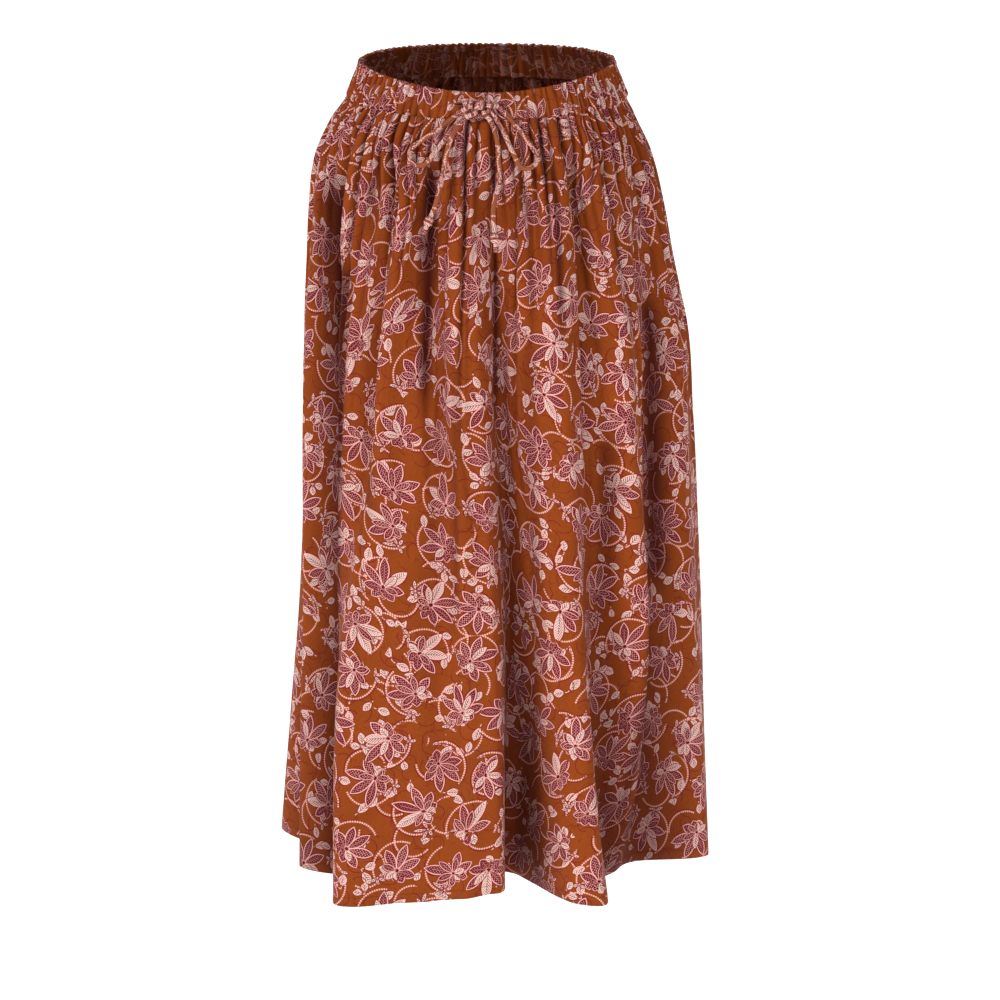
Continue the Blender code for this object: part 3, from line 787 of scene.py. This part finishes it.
def petal_ring():
    """A node group: pointed petals or leaves round a point, in millimetres, each checked or pale by chance.

    They start a little way out, on a thin stem. Fan makes those at the back shorter. Missing and Pale share
    are the shares of them that are left out and that are pale.
    """
    tree = bpy.data.node_groups.new("petal_ring", "ShaderNodeTree")
    for kind, names in RING_INPUTS.items():
        for name in names:
            tree.interface.new_socket(name, in_out="INPUT", socket_type="NodeSocket" + kind)
    tree.interface.new_socket("Colour", in_out="OUTPUT", socket_type="NodeSocketColor")
    tree.interface.new_socket("Shown", in_out="OUTPUT", socket_type="NodeSocketFloat")
    n = ClothNodes(tree)
    given = n.add("NodeGroupInput").outputs
    x, y, _ = n.split(given["Place"])
    step = n.reckon("DIVIDE", 2 * math.pi, given["Petals"])
    turned = n.reckon("DIVIDE", n.angle(y, x), step)
    number = n.reckon("ROUND", turned)
    off = n.times(n.minus(turned, number), step)
    radius = n.length(given["Place"])
    sideways = n.times(radius, n.sine(off))
    across = n.size(sideways)
    along = n.minus(n.times(radius, n.cosine(off)), given["Start"])
    chances = {"Vector": n.join(number, given["Seed"])}
    chance = n.fed("ShaderNodeTexWhiteNoise", chances, noise_dimensions="2D")
    lengthen, kind, kept = n.split(chance.outputs["Color"])
    back = n.times(given["Fan"], n.scaled(n.cosine(n.times(number, step)), -0.5, 0.5))
    length = n.times(given["Length"], n.minus(1.0, back))
    length = n.times(length, n.scaled(lengthen, 0.3, 0.85))
    share = n.reckon("DIVIDE", along, length)
    form = n.times(n.times(share, n.minus(1.0, share)), n.scaled(share, 2.24, 2.8))
    depth = n.minus(n.times(form, given["Half width"]), across)
    grain = n.times(n.sine(n.times(along, CHECK_RATE)), n.cosine(n.times(sideways, CHECK_RATE)))
    strength = n.scaled(n.reckon("FRACT", n.times(kind, 2.0)), 0.5, 0.25)
    checked = n.times(n.times(n.cut_off(grain, 0.4, 0.3), strength), 1.1, clamp=True)
    checked = n.times(n.cut_off(depth, CHECK_MARGIN, 0.3), checked)
    rib = n.times(n.below(across, RIB_HALF), n.below(share, RIB_END))
    dark = n.mix(n.largest(checked, n.times(rib, 0.45)), given["Maroon"], given["Pink"])
    hatch = n.sine(n.times(n.scaled(across, -1.3, along), HATCH_RATE))
    hatch = n.times(n.cut_off(hatch, 0.1, 0.6), n.below(share, HATCH_END))
    hatch = n.times(hatch, n.scaled(n.above(sideways, 0.0), 0.25, 0.65))
    light = n.mix(n.largest(hatch, n.times(rib, 0.85)), given["Pale"], given["Maroon"])
    fill = n.mix(n.above(kind, given["Pale share"]), light, dark)
    base = n.below(share, PETAL_BASE)
    within = n.scaled(given["Half width"], -OUTLINE_SHARE, depth)
    within = n.largest(n.inside(within, 0.25), base)
    outlined = n.mix(within, given["Pink"], n.mix(base, fill, given["Maroon"]))
    edged = n.mix(n.inside(depth, 0.25), given["Maroon"], outlined)
    stem = n.times(n.cut_off(STEM_HALF, across), n.inside(n.times(along, -1.0)))
    stem = n.times(stem, n.above(given["Start"], 0.5))
    result = n.add("NodeGroupOutput").inputs
    n.put(result["Colour"], n.mix(stem, edged, given["Pink"]))
    shown = n.largest(n.inside(n.plus(depth, DARK_LINE), 0.25), stem)
    n.put(result["Shown"], n.times(shown, n.above(kept, given["Missing"])))
    return tree


class Print:
    """The printed cotton's nodes, built over one place on the cloth in millimetres."""

    def __init__(self, nodes, look, place, strength):
        self.n = nodes
        self.look = look
        self.place = place
        self.strength = strength

    def colour(self, name):
        """One of the print's colours, paler towards the ground on the cloth's reverse."""
        ground = np.array(self.look.ground)
        return tuple(ground + (np.array(getattr(self.look, name)) - ground) * self.strength)

    def turned(self, place, angle):
        """A place turned round the motif's middle."""
        values = {"Vector": place, "Angle": angle}
        return self.n.fed("ShaderNodeVectorRotate", values, rotation_type="Z_AXIS").outputs[0]

    def noise(self, **values):
        """Soft noise over the cloth."""
        values["Vector"] = self.place
        return self.n.fed("ShaderNodeTexNoise", values, noise_dimensions="2D").outputs["Fac"]

    def cell(self, pitch, loose, shift, turn):
        """The place from the nearest motif's middle, turned by chance, and two chances for that motif."""
        n = self.n
        moved = self.turned(n.vector("ADD", self.place, (shift, -shift / 2, 0)), turn)
        values = {"Vector": moved, "Scale": 1 / pitch, "Randomness": loose}
        cells = n.fed("ShaderNodeTexVoronoi", values, voronoi_dimensions="2D", feature="F1")
        away = n.vector("SUBTRACT", moved, cells.outputs["Position"])
        first, second, third = n.split(cells.outputs["Color"])
        return self.turned(away, n.times(first, 2 * math.pi)), n.times(second, 97.0), third

    def ring(self, under, place, seed, ring):
        """Lays one ring of petals or leaves over the colour so far."""
        n = self.n
        names = [name for group in RING_INPUTS.values() for name in group]
        values = (place, seed, *ring, self.colour("maroon"), self.colour("pink"), self.colour("pale"))
        tree = bpy.data.node_groups.get("petal_ring") or petal_ring()
        node = n.fed("ShaderNodeGroup", dict(zip(names, values)), node_tree=tree)
        return n.mix(node.outputs["Shown"], under, node.outputs["Colour"])

    def circle(self, place, arc):
        """How far a place is off an arc's circle, its angle round it, and 1 where the arc shows."""
        n = self.n
        x, y, _ = n.split(place)
        angle = n.angle(y, x)
        shown = n.below(n.size(n.minus(angle, arc.middle)), arc.reach)
        return n.minus(n.length(place), arc.radius), angle, shown

    def beads(self, under, place, chance, arc):
        """A row of beads along an arc, by chance with a plain line beside it."""
        n = self.n
        away, angle, shown = self.circle(place, arc)
        bead = n.reckon("FRACT", n.times(angle, arc.radius / BEAD_PITCH))
        bead = n.times(n.minus(bead, 0.5), BEAD_PITCH)
        beads = n.cut_off(BEAD_RADIUS, n.length(n.join(away, bead)))
        line = n.cut_off(LINE_HALF, n.size(n.minus(away, BESIDE_BEADS)))
        line = n.times(n.times(line, n.below(chance, arc.lined)), shown)
        return n.mix(n.times(beads, shown), n.mix(line, under, self.colour("line")), self.colour("pink"))

    def curl(self, under, place, arc):
        """A thin red line along an arc."""
        n = self.n
        away, _, shown = self.circle(place, arc)
        return n.mix(n.times(n.cut_off(CURL_HALF, n.size(away)), shown), under, self.colour("line"))

    def threads(self, under):
        """Thin wandering red lines."""
        n = self.n
        thin = n.below(n.reckon("PINGPONG", self.noise(Scale=0.04, Detail=0.6), 0.05), 0.006)
        return n.mix(n.times(thin, 0.45), under, self.colour("line"))

    def build(self):
        """The whole print's colour, from the ground up to the flowers."""
        n = self.n
        ground = self.look.ground
        darker = tuple(0.7 * part for part in ground[:3]) + (1,)
        colour = self.threads(n.mix(self.noise(Scale=0.02), darker, ground))
        pitch = self.look.flower_pitch / MM
        place, _, chance = self.cell(pitch * 0.93, 0.5, 23.0, 0.9)
        colour = self.curl(colour, n.vector("ADD", place, (9.0, -6.0, 0.0)), LOOSE_CURL)
        colour = self.beads(colour, place, chance, LOOSE_ARC)
        for sprig in SPRIGS:
            leaf_pitch = self.look.leaf_pitch / MM * sprig.pitch
            place, number, _ = self.cell(leaf_pitch, 0.6, sprig.shift, sprig.turn)
            colour = self.curl(colour, n.vector("ADD", place, (-6.0, 4.0, 0.0)), sprig.curl)
            colour = self.ring(colour, place, number, sprig.leaves)
        place, number, chance = self.cell(pitch, 0.3, 0.0, 0.35)
        colour = self.beads(colour, n.vector("ADD", place, (3.0, 2.0, 0.0)), chance, FLOWER_ARC)
        twig = n.vector("SUBTRACT", place, (-12.0, 19.0, 0.0))
        colour = self.ring(colour, twig, n.plus(number, 3.0), TWIG)
        place = n.vector("ADD", place, (8.0, 0, 0))
        colour = self.ring(colour, self.turned(place, 0.35), number, OUTER_PETALS)
        return self.ring(colour, place, n.plus(number, 1.0), INNER_PETALS)


def cloth_coordinates(nodes):
    """The place on the flat cloth in millimetres, from its print map."""
    node = nodes.add("ShaderNodeUVMap", uv_map="cloth")
    return nodes.vector("MULTIPLY", node.outputs[0], (1000, 1000, 1000))


def weave_bump(nodes, place, strength):
    """Threads crossing each other, a little over two to the millimetre, with thicker ones by chance."""
    x, y, _ = nodes.split(place)
    warp = nodes.sine(nodes.times(x, 2 * math.pi * WARP))
    weft = nodes.sine(nodes.times(y, 2 * math.pi * WEFT))
    long = nodes.vector("MULTIPLY", place, (0.9, 0.12, 1.0))
    slub = nodes.fed("ShaderNodeTexNoise", {"Vector": long, "Scale": 1.0})
    height = nodes.scaled(slub.outputs["Fac"], 0.8, nodes.times(warp, weft))
    values = {"Strength": strength, "Distance": 0.2 * MM, "Height": height}
    return nodes.fed("ShaderNodeBump", values).outputs[0]


def new_material(name, values):
    """A material with values in its shader's named inputs, and its shader."""
    material = bpy.data.materials.new(name)
    material.use_nodes = True
    shader = material.node_tree.nodes["Principled BSDF"]
    for socket, value in values.items():
        shader.inputs[socket].default_value = value
    return material, shader


def printed_cotton(name, strength=1.0, tone=None):
    """The printed cotton. strength is how much of the print shows, and tone is mixed into it."""
    sizes, look, _ = settings()
    finish = {"Roughness": 0.82, "Specular IOR Level": 0.12, "Sheen Weight": 0.03, "Sheen Roughness": 0.45}
    material, shader = new_material(name, {**finish, "Sheen Tint": SHEEN_TINT})
    n = ClothNodes(material.node_tree)
    place = cloth_coordinates(n)
    colour = Print(n, look, place, strength).build()
    across, down, _ = n.split(place)
    row = n.cut_off(0.35, n.size(n.plus(down, PANEL_LENGTH - sizes.hem / MM)))
    dash = n.below(n.reckon("FRACT", n.reckon("DIVIDE", across, STITCH_PITCH)), 0.75)
    colour = n.mix(n.times(n.times(row, dash), 0.6), colour, STITCH_COLOUR)
    # Painted shade: the fold attribute multiplies the print darker, by FOLD_SHADE, in the bottoms of gathers,
    # long folds, creases and ruches
    fold = n.add("ShaderNodeAttribute", attribute_name="fold").outputs["Fac"]
    colour = n.mix(fold, colour, n.shade(colour, FOLD_SHADE))
    if tone:
        colour = n.mix(tone[0], colour, tone[1])
    n.put(shader.inputs["Base Color"], colour)
    n.put(shader.inputs["Normal"], weave_bump(n, place, 0.35))
    return material


def settings():
    scene = bpy.context.scene
    return scene.skirt_sizes, scene.skirt_print, scene.skirt_stage


def material_named(name, **more):
    """One of the cloth's materials, made once."""
    return bpy.data.materials.get(name) or printed_cotton(name, **more)


def plain_material(name, colour):
    """A matt material of one colour, made once."""
    return bpy.data.materials.get(name) or new_material(name, {"Base Color": colour, "Roughness": 0.9})[0]


def front_crest(x, z):
    """The y in millimetres of the front's outermost crests at x and z, all in millimetres."""
    turn = math.degrees(math.asin(x / CASING_SECTION[-1].across))
    height = casing_height(turn) / MM
    drop = waist_height(turn) / MM - height / 2 - z
    if drop < 0:
        share = 1 + drop / height
        shares, acrosses, alongs = zip(*CASING_SECTION)
        across, along = np.interp(share, shares, acrosses), np.interp(share, shares, alongs)
        return -along * math.sqrt(1 - (x / across) ** 2) - CASING_RUCHE_DEPTH / 2
    across = level_size(drop, "left" if x < 0 else "right")
    along = level_size(drop, "front")
    power = level_size(drop, "squareness")
    fine = FINE_HEIGHT_AT_SEAM + (FINE_HEIGHT - FINE_HEIGHT_AT_SEAM) * ease(drop, 0, 14)
    return -along * (1 - (abs(x) / across) ** power) ** (1 / power) - fine - soft_height(drop)


def on_front(x, z, lift):
    """A point of the drawstring, in millimetres, with its underside that far off the crests."""
    return np.array([x, front_crest(x, z) - CORD_WIDTH / 2 - CORD_GAP - lift, z])


def knot_middle():
    x, z = KNOT_MIDDLE
    return np.array([x, front_crest(x, z) - KNOT_LIFT, z])


def off_knot(leaving, further=0.0):
    """A point just off the knot's face, or further out, square to the face where a strand leaves it."""
    way = np.array([leaving.across, -leaving.out, leaving.up])
    way = way / np.linalg.norm(way)
    half = np.array(KNOT_HALF)
    face = half * half * way / np.linalg.norm(half * way)
    return knot_middle() + face + way * (CORD_GAP + further)


def smooth_route(points, step):
    """Points a step apart on a smooth curve through a route's own points."""
    points = np.array(points, float)
    along = running_length(points)
    fine = np.linspace(0, along[-1], 900)
    line = np.stack([through(fine, along, column) for column in points.T], axis=1)
    length = running_length(line)
    return points_at(np.linspace(0, length[-1], max(round(length[-1] / step), 2) + 1), length, line)


def frames_along(line):
    """Two directions square to a line at each of its points, carried along it without twist."""
    way = np.gradient(line, axis=0)
    way = way / np.linalg.norm(way, axis=1)[:, None]
    side = np.cross(way[0], (0, -1, 0))
    sides = []
    for direction in way:
        side = side - direction * np.dot(side, direction)
        side = side / np.linalg.norm(side)
        sides.append(side)
    sides = np.array(sides)
    return sides, np.cross(way, sides)


def add_tube(name, line, radii, material, facets=20, pucker=0.0, seed=0):
    """A sewn rouleau along a line in millimetres, slightly puckered, with a print map along and round it."""
    sides, ups = frames_along(line)
    count = len(line)
    radii = np.broadcast_to(radii, count)
    along = running_length(line)
    angle = np.linspace(0, 2 * math.pi, facets, endpoint=False)
    starts = np.random.default_rng(seed).uniform(0, 2 * math.pi, len(PUCKER_RATES))
    rows = []
    for i in range(count):
        ripple = np.mean([math.sin(along[i] * rate + start) for rate, start in zip(PUCKER_RATES, starts)])
        seam = np.exp(-(((angle - math.pi / 2 + 0.15 * math.sin(along[i] * 0.12)) / 0.25) ** 2))
        radius = radii[i] * (1 + pucker * ripple - SEAM_DEPTH * seam)
        across = sides[i] * (radius * np.cos(angle))[:, None]
        rows.append(line[i] + across + ups[i] * (radius * np.sin(angle))[:, None])
    faces = []
    places = []
    for i in range(count - 1):
        for j in range(facets):
            after = (j + 1) % facets
            faces.append((i * facets + j, i * facets + after, (i + 1) * facets + after, (i + 1) * facets + j))
            low, high = j / facets * CORD_ROUND, (j + 1) / facets * CORD_ROUND
            places += [(along[i], low), (along[i], high), (along[i + 1], high), (along[i + 1], low)]
    faces += [tuple(range(facets))[::-1], tuple((count - 1) * facets + j for j in range(facets))]
    places += [(0.0, CORD_ROUND / 2)] * facets + [(along[-1], CORD_ROUND / 2)] * facets
    return add_mesh(name, np.array(rows) * MM, faces, [material], np.array(places) * MM)


def cloth_materials():
    """The printed cotton outside and its reverse inside."""
    return [material_named("flower_print"), material_named("flower_print_reverse", **REVERSE)]


class SKIRT_OT_panels(bpy.types.Operator):
    """Makes the gathered front and back panels."""

    bl_idname = "skirt.panels"
    bl_label = "Panels"

    def execute(self, context):
        sizes = settings()[0]
        materials = cloth_materials()
        share = np.linspace(0, 1, sizes.columns)
        for name, start, end, cut, seed in (
            ("front_panel", -90, 90, sizes.front_cut, SEED),
            ("back_panel", 90, 270, sizes.back_cut, SEED + 1),
        ):
            pleats = Gathers(seed, sizes.gathers)
            rows = []
            places = []
            painted_fold_shade = []
            for drop in PANEL_LENGTH * np.linspace(0, 1, sizes.rows) ** ROW_CROWDING:
                points, inside, dark = panel_ring(drop, start, end, sizes.columns, pleats)
                gathered = pleats.depth(drop, share) ** 3 * (1 - ease(drop, 40, 220))
                hidden = gathered + np.clip(inside / SPARE_DEPTH, 0, 1.5) ** 2
                across = cloth_across(points, hidden, cut)
                # Painted shade in the bottoms of the fine gathers, the long folds and the creases
                long = LONG_SHADE * np.clip((inside - LONG_SHADE_START) / LONG_SHADE_SPAN, 0, 1)
                painted_valley_shade = np.maximum(pleats.dark(drop, share), long * ease(drop, 20, 120))
                rows.append(points)
                places.append(np.column_stack([across, np.full(sizes.columns, -drop * MM)]))
                painted_fold_shade.append(np.maximum(painted_valley_shade, dark))
            panel = add_sheet(name + "_cloth", rows, places, painted_fold_shade, materials, sizes.cloth)
            stand_for(panel, name)
        return {"FINISHED"}


class SKIRT_OT_casing(bpy.types.Operator):
    """Makes the ruched waist casing."""

    bl_idname = "skirt.casing"
    bl_label = "Waist casing"

    def execute(self, context):
        sizes = settings()[0]
        random = np.random.default_rng(SEED + 2)
        count = sizes.casing_columns
        turn = np.linspace(0, 360, count, endpoint=False)
        widths = random.uniform(0.6, 1.4, sizes.ruches)
        edges = np.concatenate([[0], np.cumsum(widths)]) / widths.sum() * 360
        number = np.interp(turn, edges, np.arange(sizes.ruches + 1))
        heights = random.uniform(0.5, 1.2, sizes.ruches + 1)
        heights[-1] = heights[0]
        height = through(number, np.arange(sizes.ruches + 1), heights)
        slack = 0.45 + 0.55 * ease(np.abs((turn + 180) % 360 - 180), 12, 60)
        crest = 2 * np.abs(np.sin(math.pi * number)) ** 0.65 - 1.15
        deep = (1 - np.abs(np.sin(math.pi * number))) ** 2 * slack
        shares, acrosses, alongs = (np.array(column, float) for column in zip(*CASING_SECTION))
        angle = np.radians(turn)
        rows = []
        for share in np.linspace(0, 1, CASING_ROWS):
            across, along = np.interp(share, shares, acrosses), np.interp(share, shares, alongs)
            rounded = CASING_ROUNDING * (1 - math.sqrt(max(1 - (2 * abs(share - 0.5)) ** 8, 0)))
            drawn = 1 - CASING_DRAWN * math.sin(math.pi * share) ** 2
            out = sizes.ruche / MM * height * slack * crest * drawn - rounded
            x = (across + out) * np.sin(angle) * MM
            y = -(along + out) * np.cos(angle) * MM
            facing = np.degrees(np.arctan2(x, -y))
            z = waist_height(facing) + casing_height(facing) * (0.5 - share)
            z += (crest * height * slack - 1) * CASING_RIPPLE * MM * ease(-share, -0.3, 0)
            rows.append(np.column_stack([x, y, z]))
        middle = rows[CASING_ROWS // 2]
        over = cloth_across(np.vstack([middle, middle[:1]]), np.append(deep, deep[0]), sizes.casing_cut)
        downs = (CASING_PRINT_TOP - CASING_CLOTH_HEIGHT * np.linspace(0, 1, CASING_ROWS)) * MM
        places = [np.column_stack([over, np.full(count + 1, down)]) for down in downs]
        # Painted shade, strongest in the ruches' valleys
        painted_fold_shade = [deep * RUCHE_SHADE] * CASING_ROWS
        cloths = cloth_materials()
        casing = add_sheet("waist_casing_cloth", rows, places, painted_fold_shade, cloths, sizes.casing, closed=True)
        stand_for(casing, "waist_casing")
        for side, strand in SLIT_CORDS.items():
            self.add_buttonhole(side, *strand.route[0][:2])
        return {"FINISHED"}

    def add_buttonhole(self, side, x, z):
        """The stitched edge of one slit that the cord comes out of, and a near-black sheet inside it, painted
        as the shadow of the opening.
        """
        middle = x + math.copysign(BUTTONHOLE_SHIFT, x)
        wide, high = BUTTONHOLE_HALF
        turn = np.linspace(0, 2 * math.pi, 49)
        oval = [(middle + wide * math.cos(a), z + high * math.sin(a)) for a in turn]
        line = np.array([(u, front_crest(u, v) - BUTTONHOLE_OUT, v) for u, v in oval])
        thread = plain_material("buttonhole_thread", THREAD_COLOUR)
        edge = add_tube(f"buttonhole_{side}", line, THREAD_HALF, thread, facets=10, pucker=0.12, seed=9)
        # Painted shadow: a near-black sheet fills the slit where the opening would be dark
        slit_shadow_points = np.array([(u, front_crest(u, v) - SLIT_OUT, v) for u, v in oval[:-1]]) * MM
        slit_shadow_paint = plain_material("slit_painted_shadow", SLIT_PAINTED_SHADOW)
        slit = add_mesh(f"buttonhole_{side}_slit", slit_shadow_points, [tuple(range(len(slit_shadow_points)))], [slit_shadow_paint])
        for made in (edge, slit):
            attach(made, "root")


def cord_line(strand, lead=KNOT_LEAD, step=1.6):
    """A strand's middle line in millimetres, from the knot along its route, and back if it is a loop."""
    leaving, route, back = strand
    points = [off_knot(leaving), off_knot(leaving, lead), *(on_front(*point) for point in route)]
    if back:
        points += [off_knot(back, lead), off_knot(back)]
    return smooth_route(points, step)


class SKIRT_OT_bow(bpy.types.Operator):
    """Makes the drawstring: the cords out of the slits, the knot, both loops and both tails."""

    bl_idname = "skirt.bow"
    bl_label = "Drawstring bow"

    def execute(self, context):
        self.cloth = material_named("cord_print", **CORD)
        self.radius = settings()[0].cord / 2 / MM
        self.add_knot()
        for side, strand in SLIT_CORDS.items():
            self.add_cord(f"slit_cord_{side}", cord_line(strand, SLIT_LEAD, 0.8))
        for side, strand in LOOPS.items():
            line = cord_line(strand)
            loop = self.add_cord(f"bow_loop_{side}", line, pucker=0.05, seed=3)
            self.say_cord(loop, line, "object")
        for side, strand in TAILS.items():
            line = cord_line(strand)
            tail = self.add_cord(f"cord_tail_{side}", line, pucker=0.05, seed=4)
            knot = self.add_end_knot(f"end_knot_{side}", line)
            self.say_cord(tail, line, "knot", with_pieces=[knot])
        return {"FINISHED"}

    def say_cord(self, made, line, far_end, **more):
        """Does nothing: no length, thickness or lay of a loop or a tail is stated."""

    def add_cord(self, node, line, radii=None, **form):
        """One piece of the drawstring in the place of its node."""
        made = add_tube(node + "_cloth", line, self.radius if radii is None else radii, self.cloth, **form)
        stand_for(made, node)
        return made

    def add_knot(self):
        """The bow's knot: one strand wrapped round the crossing of the others."""
        middle = knot_middle()
        steps = np.linspace(0, 2 * math.pi * KNOT_TURNS, 70)
        half = np.array(KNOT_HALF) - self.radius * 0.95
        x = middle[0] + half[0] * 0.55 * np.cos(steps * 0.5 + 0.4) + 0.9 * np.sin(steps)
        y = middle[1] + half[1] * np.cos(steps)
        z = middle[2] + half[2] * np.sin(steps)
        self.add_cord("bow_knot", np.stack([x, y, z], axis=1), pucker=0.04, seed=6)

    def add_end_knot(self, node, tail):
        """An overhand knot on a tail's end and the cut tip below it."""
        way = tail[-1] - tail[-2]
        way = way / np.linalg.norm(way)
        downs, wides = zip(*END_SECTION)
        at = np.linspace(0, downs[-1], 40)
        line = tail[-1] + way * (at + CORD_GAP)[:, None]
        return self.add_cord(node, line, np.maximum(np.interp(at, downs, wides), 0.3), pucker=0.06, seed=8)


class SKIRT_OT_stage(bpy.types.Operator):
    """Makes the floor, the lights and the camera."""

    bl_idname = "skirt.stage"
    bl_label = "Stage"

    def execute(self, context):
        look = settings()[2]
        self.add_floor(look)
        for name, lamp, power in (("key_light", KEY, look.key), ("fill_light", FILL, look.fill)):
            data = bpy.data.lights.new(name, "AREA")
            data.size = lamp.size
            data.energy = power
            self.aim(add_object(name, data), Vector(lamp.place))
        world = bpy.data.worlds.new("even_light")
        world.use_nodes = True
        world.node_tree.nodes["Background"].inputs["Color"].default_value = (1, 1, 1, 1)
        world.node_tree.nodes["Background"].inputs["Strength"].default_value = look.sky
        bpy.context.scene.world = world
        bpy.context.scene.view_settings.view_transform = "Standard"
        lens = bpy.data.cameras.new("camera")
        lens.sensor_width = SENSOR
        lens.lens = (CAMERA - TARGET).length / PICTURE_WIDTH * SENSOR
        lens.clip_end = 50
        camera = add_object("camera", lens)
        self.aim(camera, CAMERA)
        bpy.context.scene.camera = camera
        return {"FINISHED"}

    def aim(self, made, place):
        """Stands a light or the camera at a place and turns it to the skirt."""
        made.location = place
        made.rotation_euler = (TARGET - place).to_track_quat("-Z", "Y").to_euler()

    def add_floor(self, look):
        """A pale floor that curves up into a backdrop."""
        angles = np.linspace(0, math.pi / 2, 12)
        bend = [(CURVE_START + CURVE * math.sin(a), CURVE - CURVE * math.cos(a)) for a in angles]
        section = [(FLOOR_FRONT, 0.0), *bend, (CURVE_START + CURVE, BACKDROP_TOP)]
        level = HEM_LEVEL - FLOOR_DROP
        points = [(x, y, level + z) for y, z in section for x in (-FLOOR_HALF_WIDTH, FLOOR_HALF_WIDTH)]
        faces = [(2 * i, 2 * i + 1, 2 * i + 3, 2 * i + 2) for i in range(len(section) - 1)]
        glow = {"Emission Color": look.floor, "Emission Strength": look.glow}
        paper, _ = new_material("studio_paper", {"Base Color": look.floor, "Roughness": 0.9, **glow})
        add_mesh("studio_floor", points, faces, [paper])


class SKIRT_PT_panel(bpy.types.Panel):
    """Lists the skirt's pieces and settings."""

    bl_label = "Midi skirt"
    bl_idname = "SKIRT_PT_panel"
    bl_space_type = "VIEW_3D"
    bl_region_type = "UI"
    bl_category = "Midi skirt"

    def draw(self, context):
        for operator in OPERATORS:
            self.layout.operator(operator.bl_idname)
        for name in ("skirt_sizes", "skirt_print", "skirt_stage"):
            group = getattr(context.scene, name)
            box = self.layout.box()
            for prop in group.__annotations__:
                box.prop(group, prop)


OPERATORS = (SKIRT_OT_stage, SKIRT_OT_bow, SKIRT_OT_casing, SKIRT_OT_panels)
CLASSES = (SkirtSizes, PrintLook, StageLook, *OPERATORS, SKIRT_PT_panel)


def register():
    for made in CLASSES:
        bpy.utils.register_class(made)
    bpy.types.Scene.skirt_sizes = PointerProperty(type=SkirtSizes)
    bpy.types.Scene.skirt_print = PointerProperty(type=PrintLook)
    bpy.types.Scene.skirt_stage = PointerProperty(type=StageLook)


def unregister():
    for name in ("skirt_sizes", "skirt_print", "skirt_stage"):
        delattr(bpy.types.Scene, name)
    for made in reversed(CLASSES):
        bpy.utils.unregister_class(made)


def main():
    register()
    bpy.ops.skirt.stage()
    bpy.ops.skirt.bow()
    bpy.ops.skirt.casing()
    bpy.ops.skirt.panels()


if __name__ == "__main__":
    main()
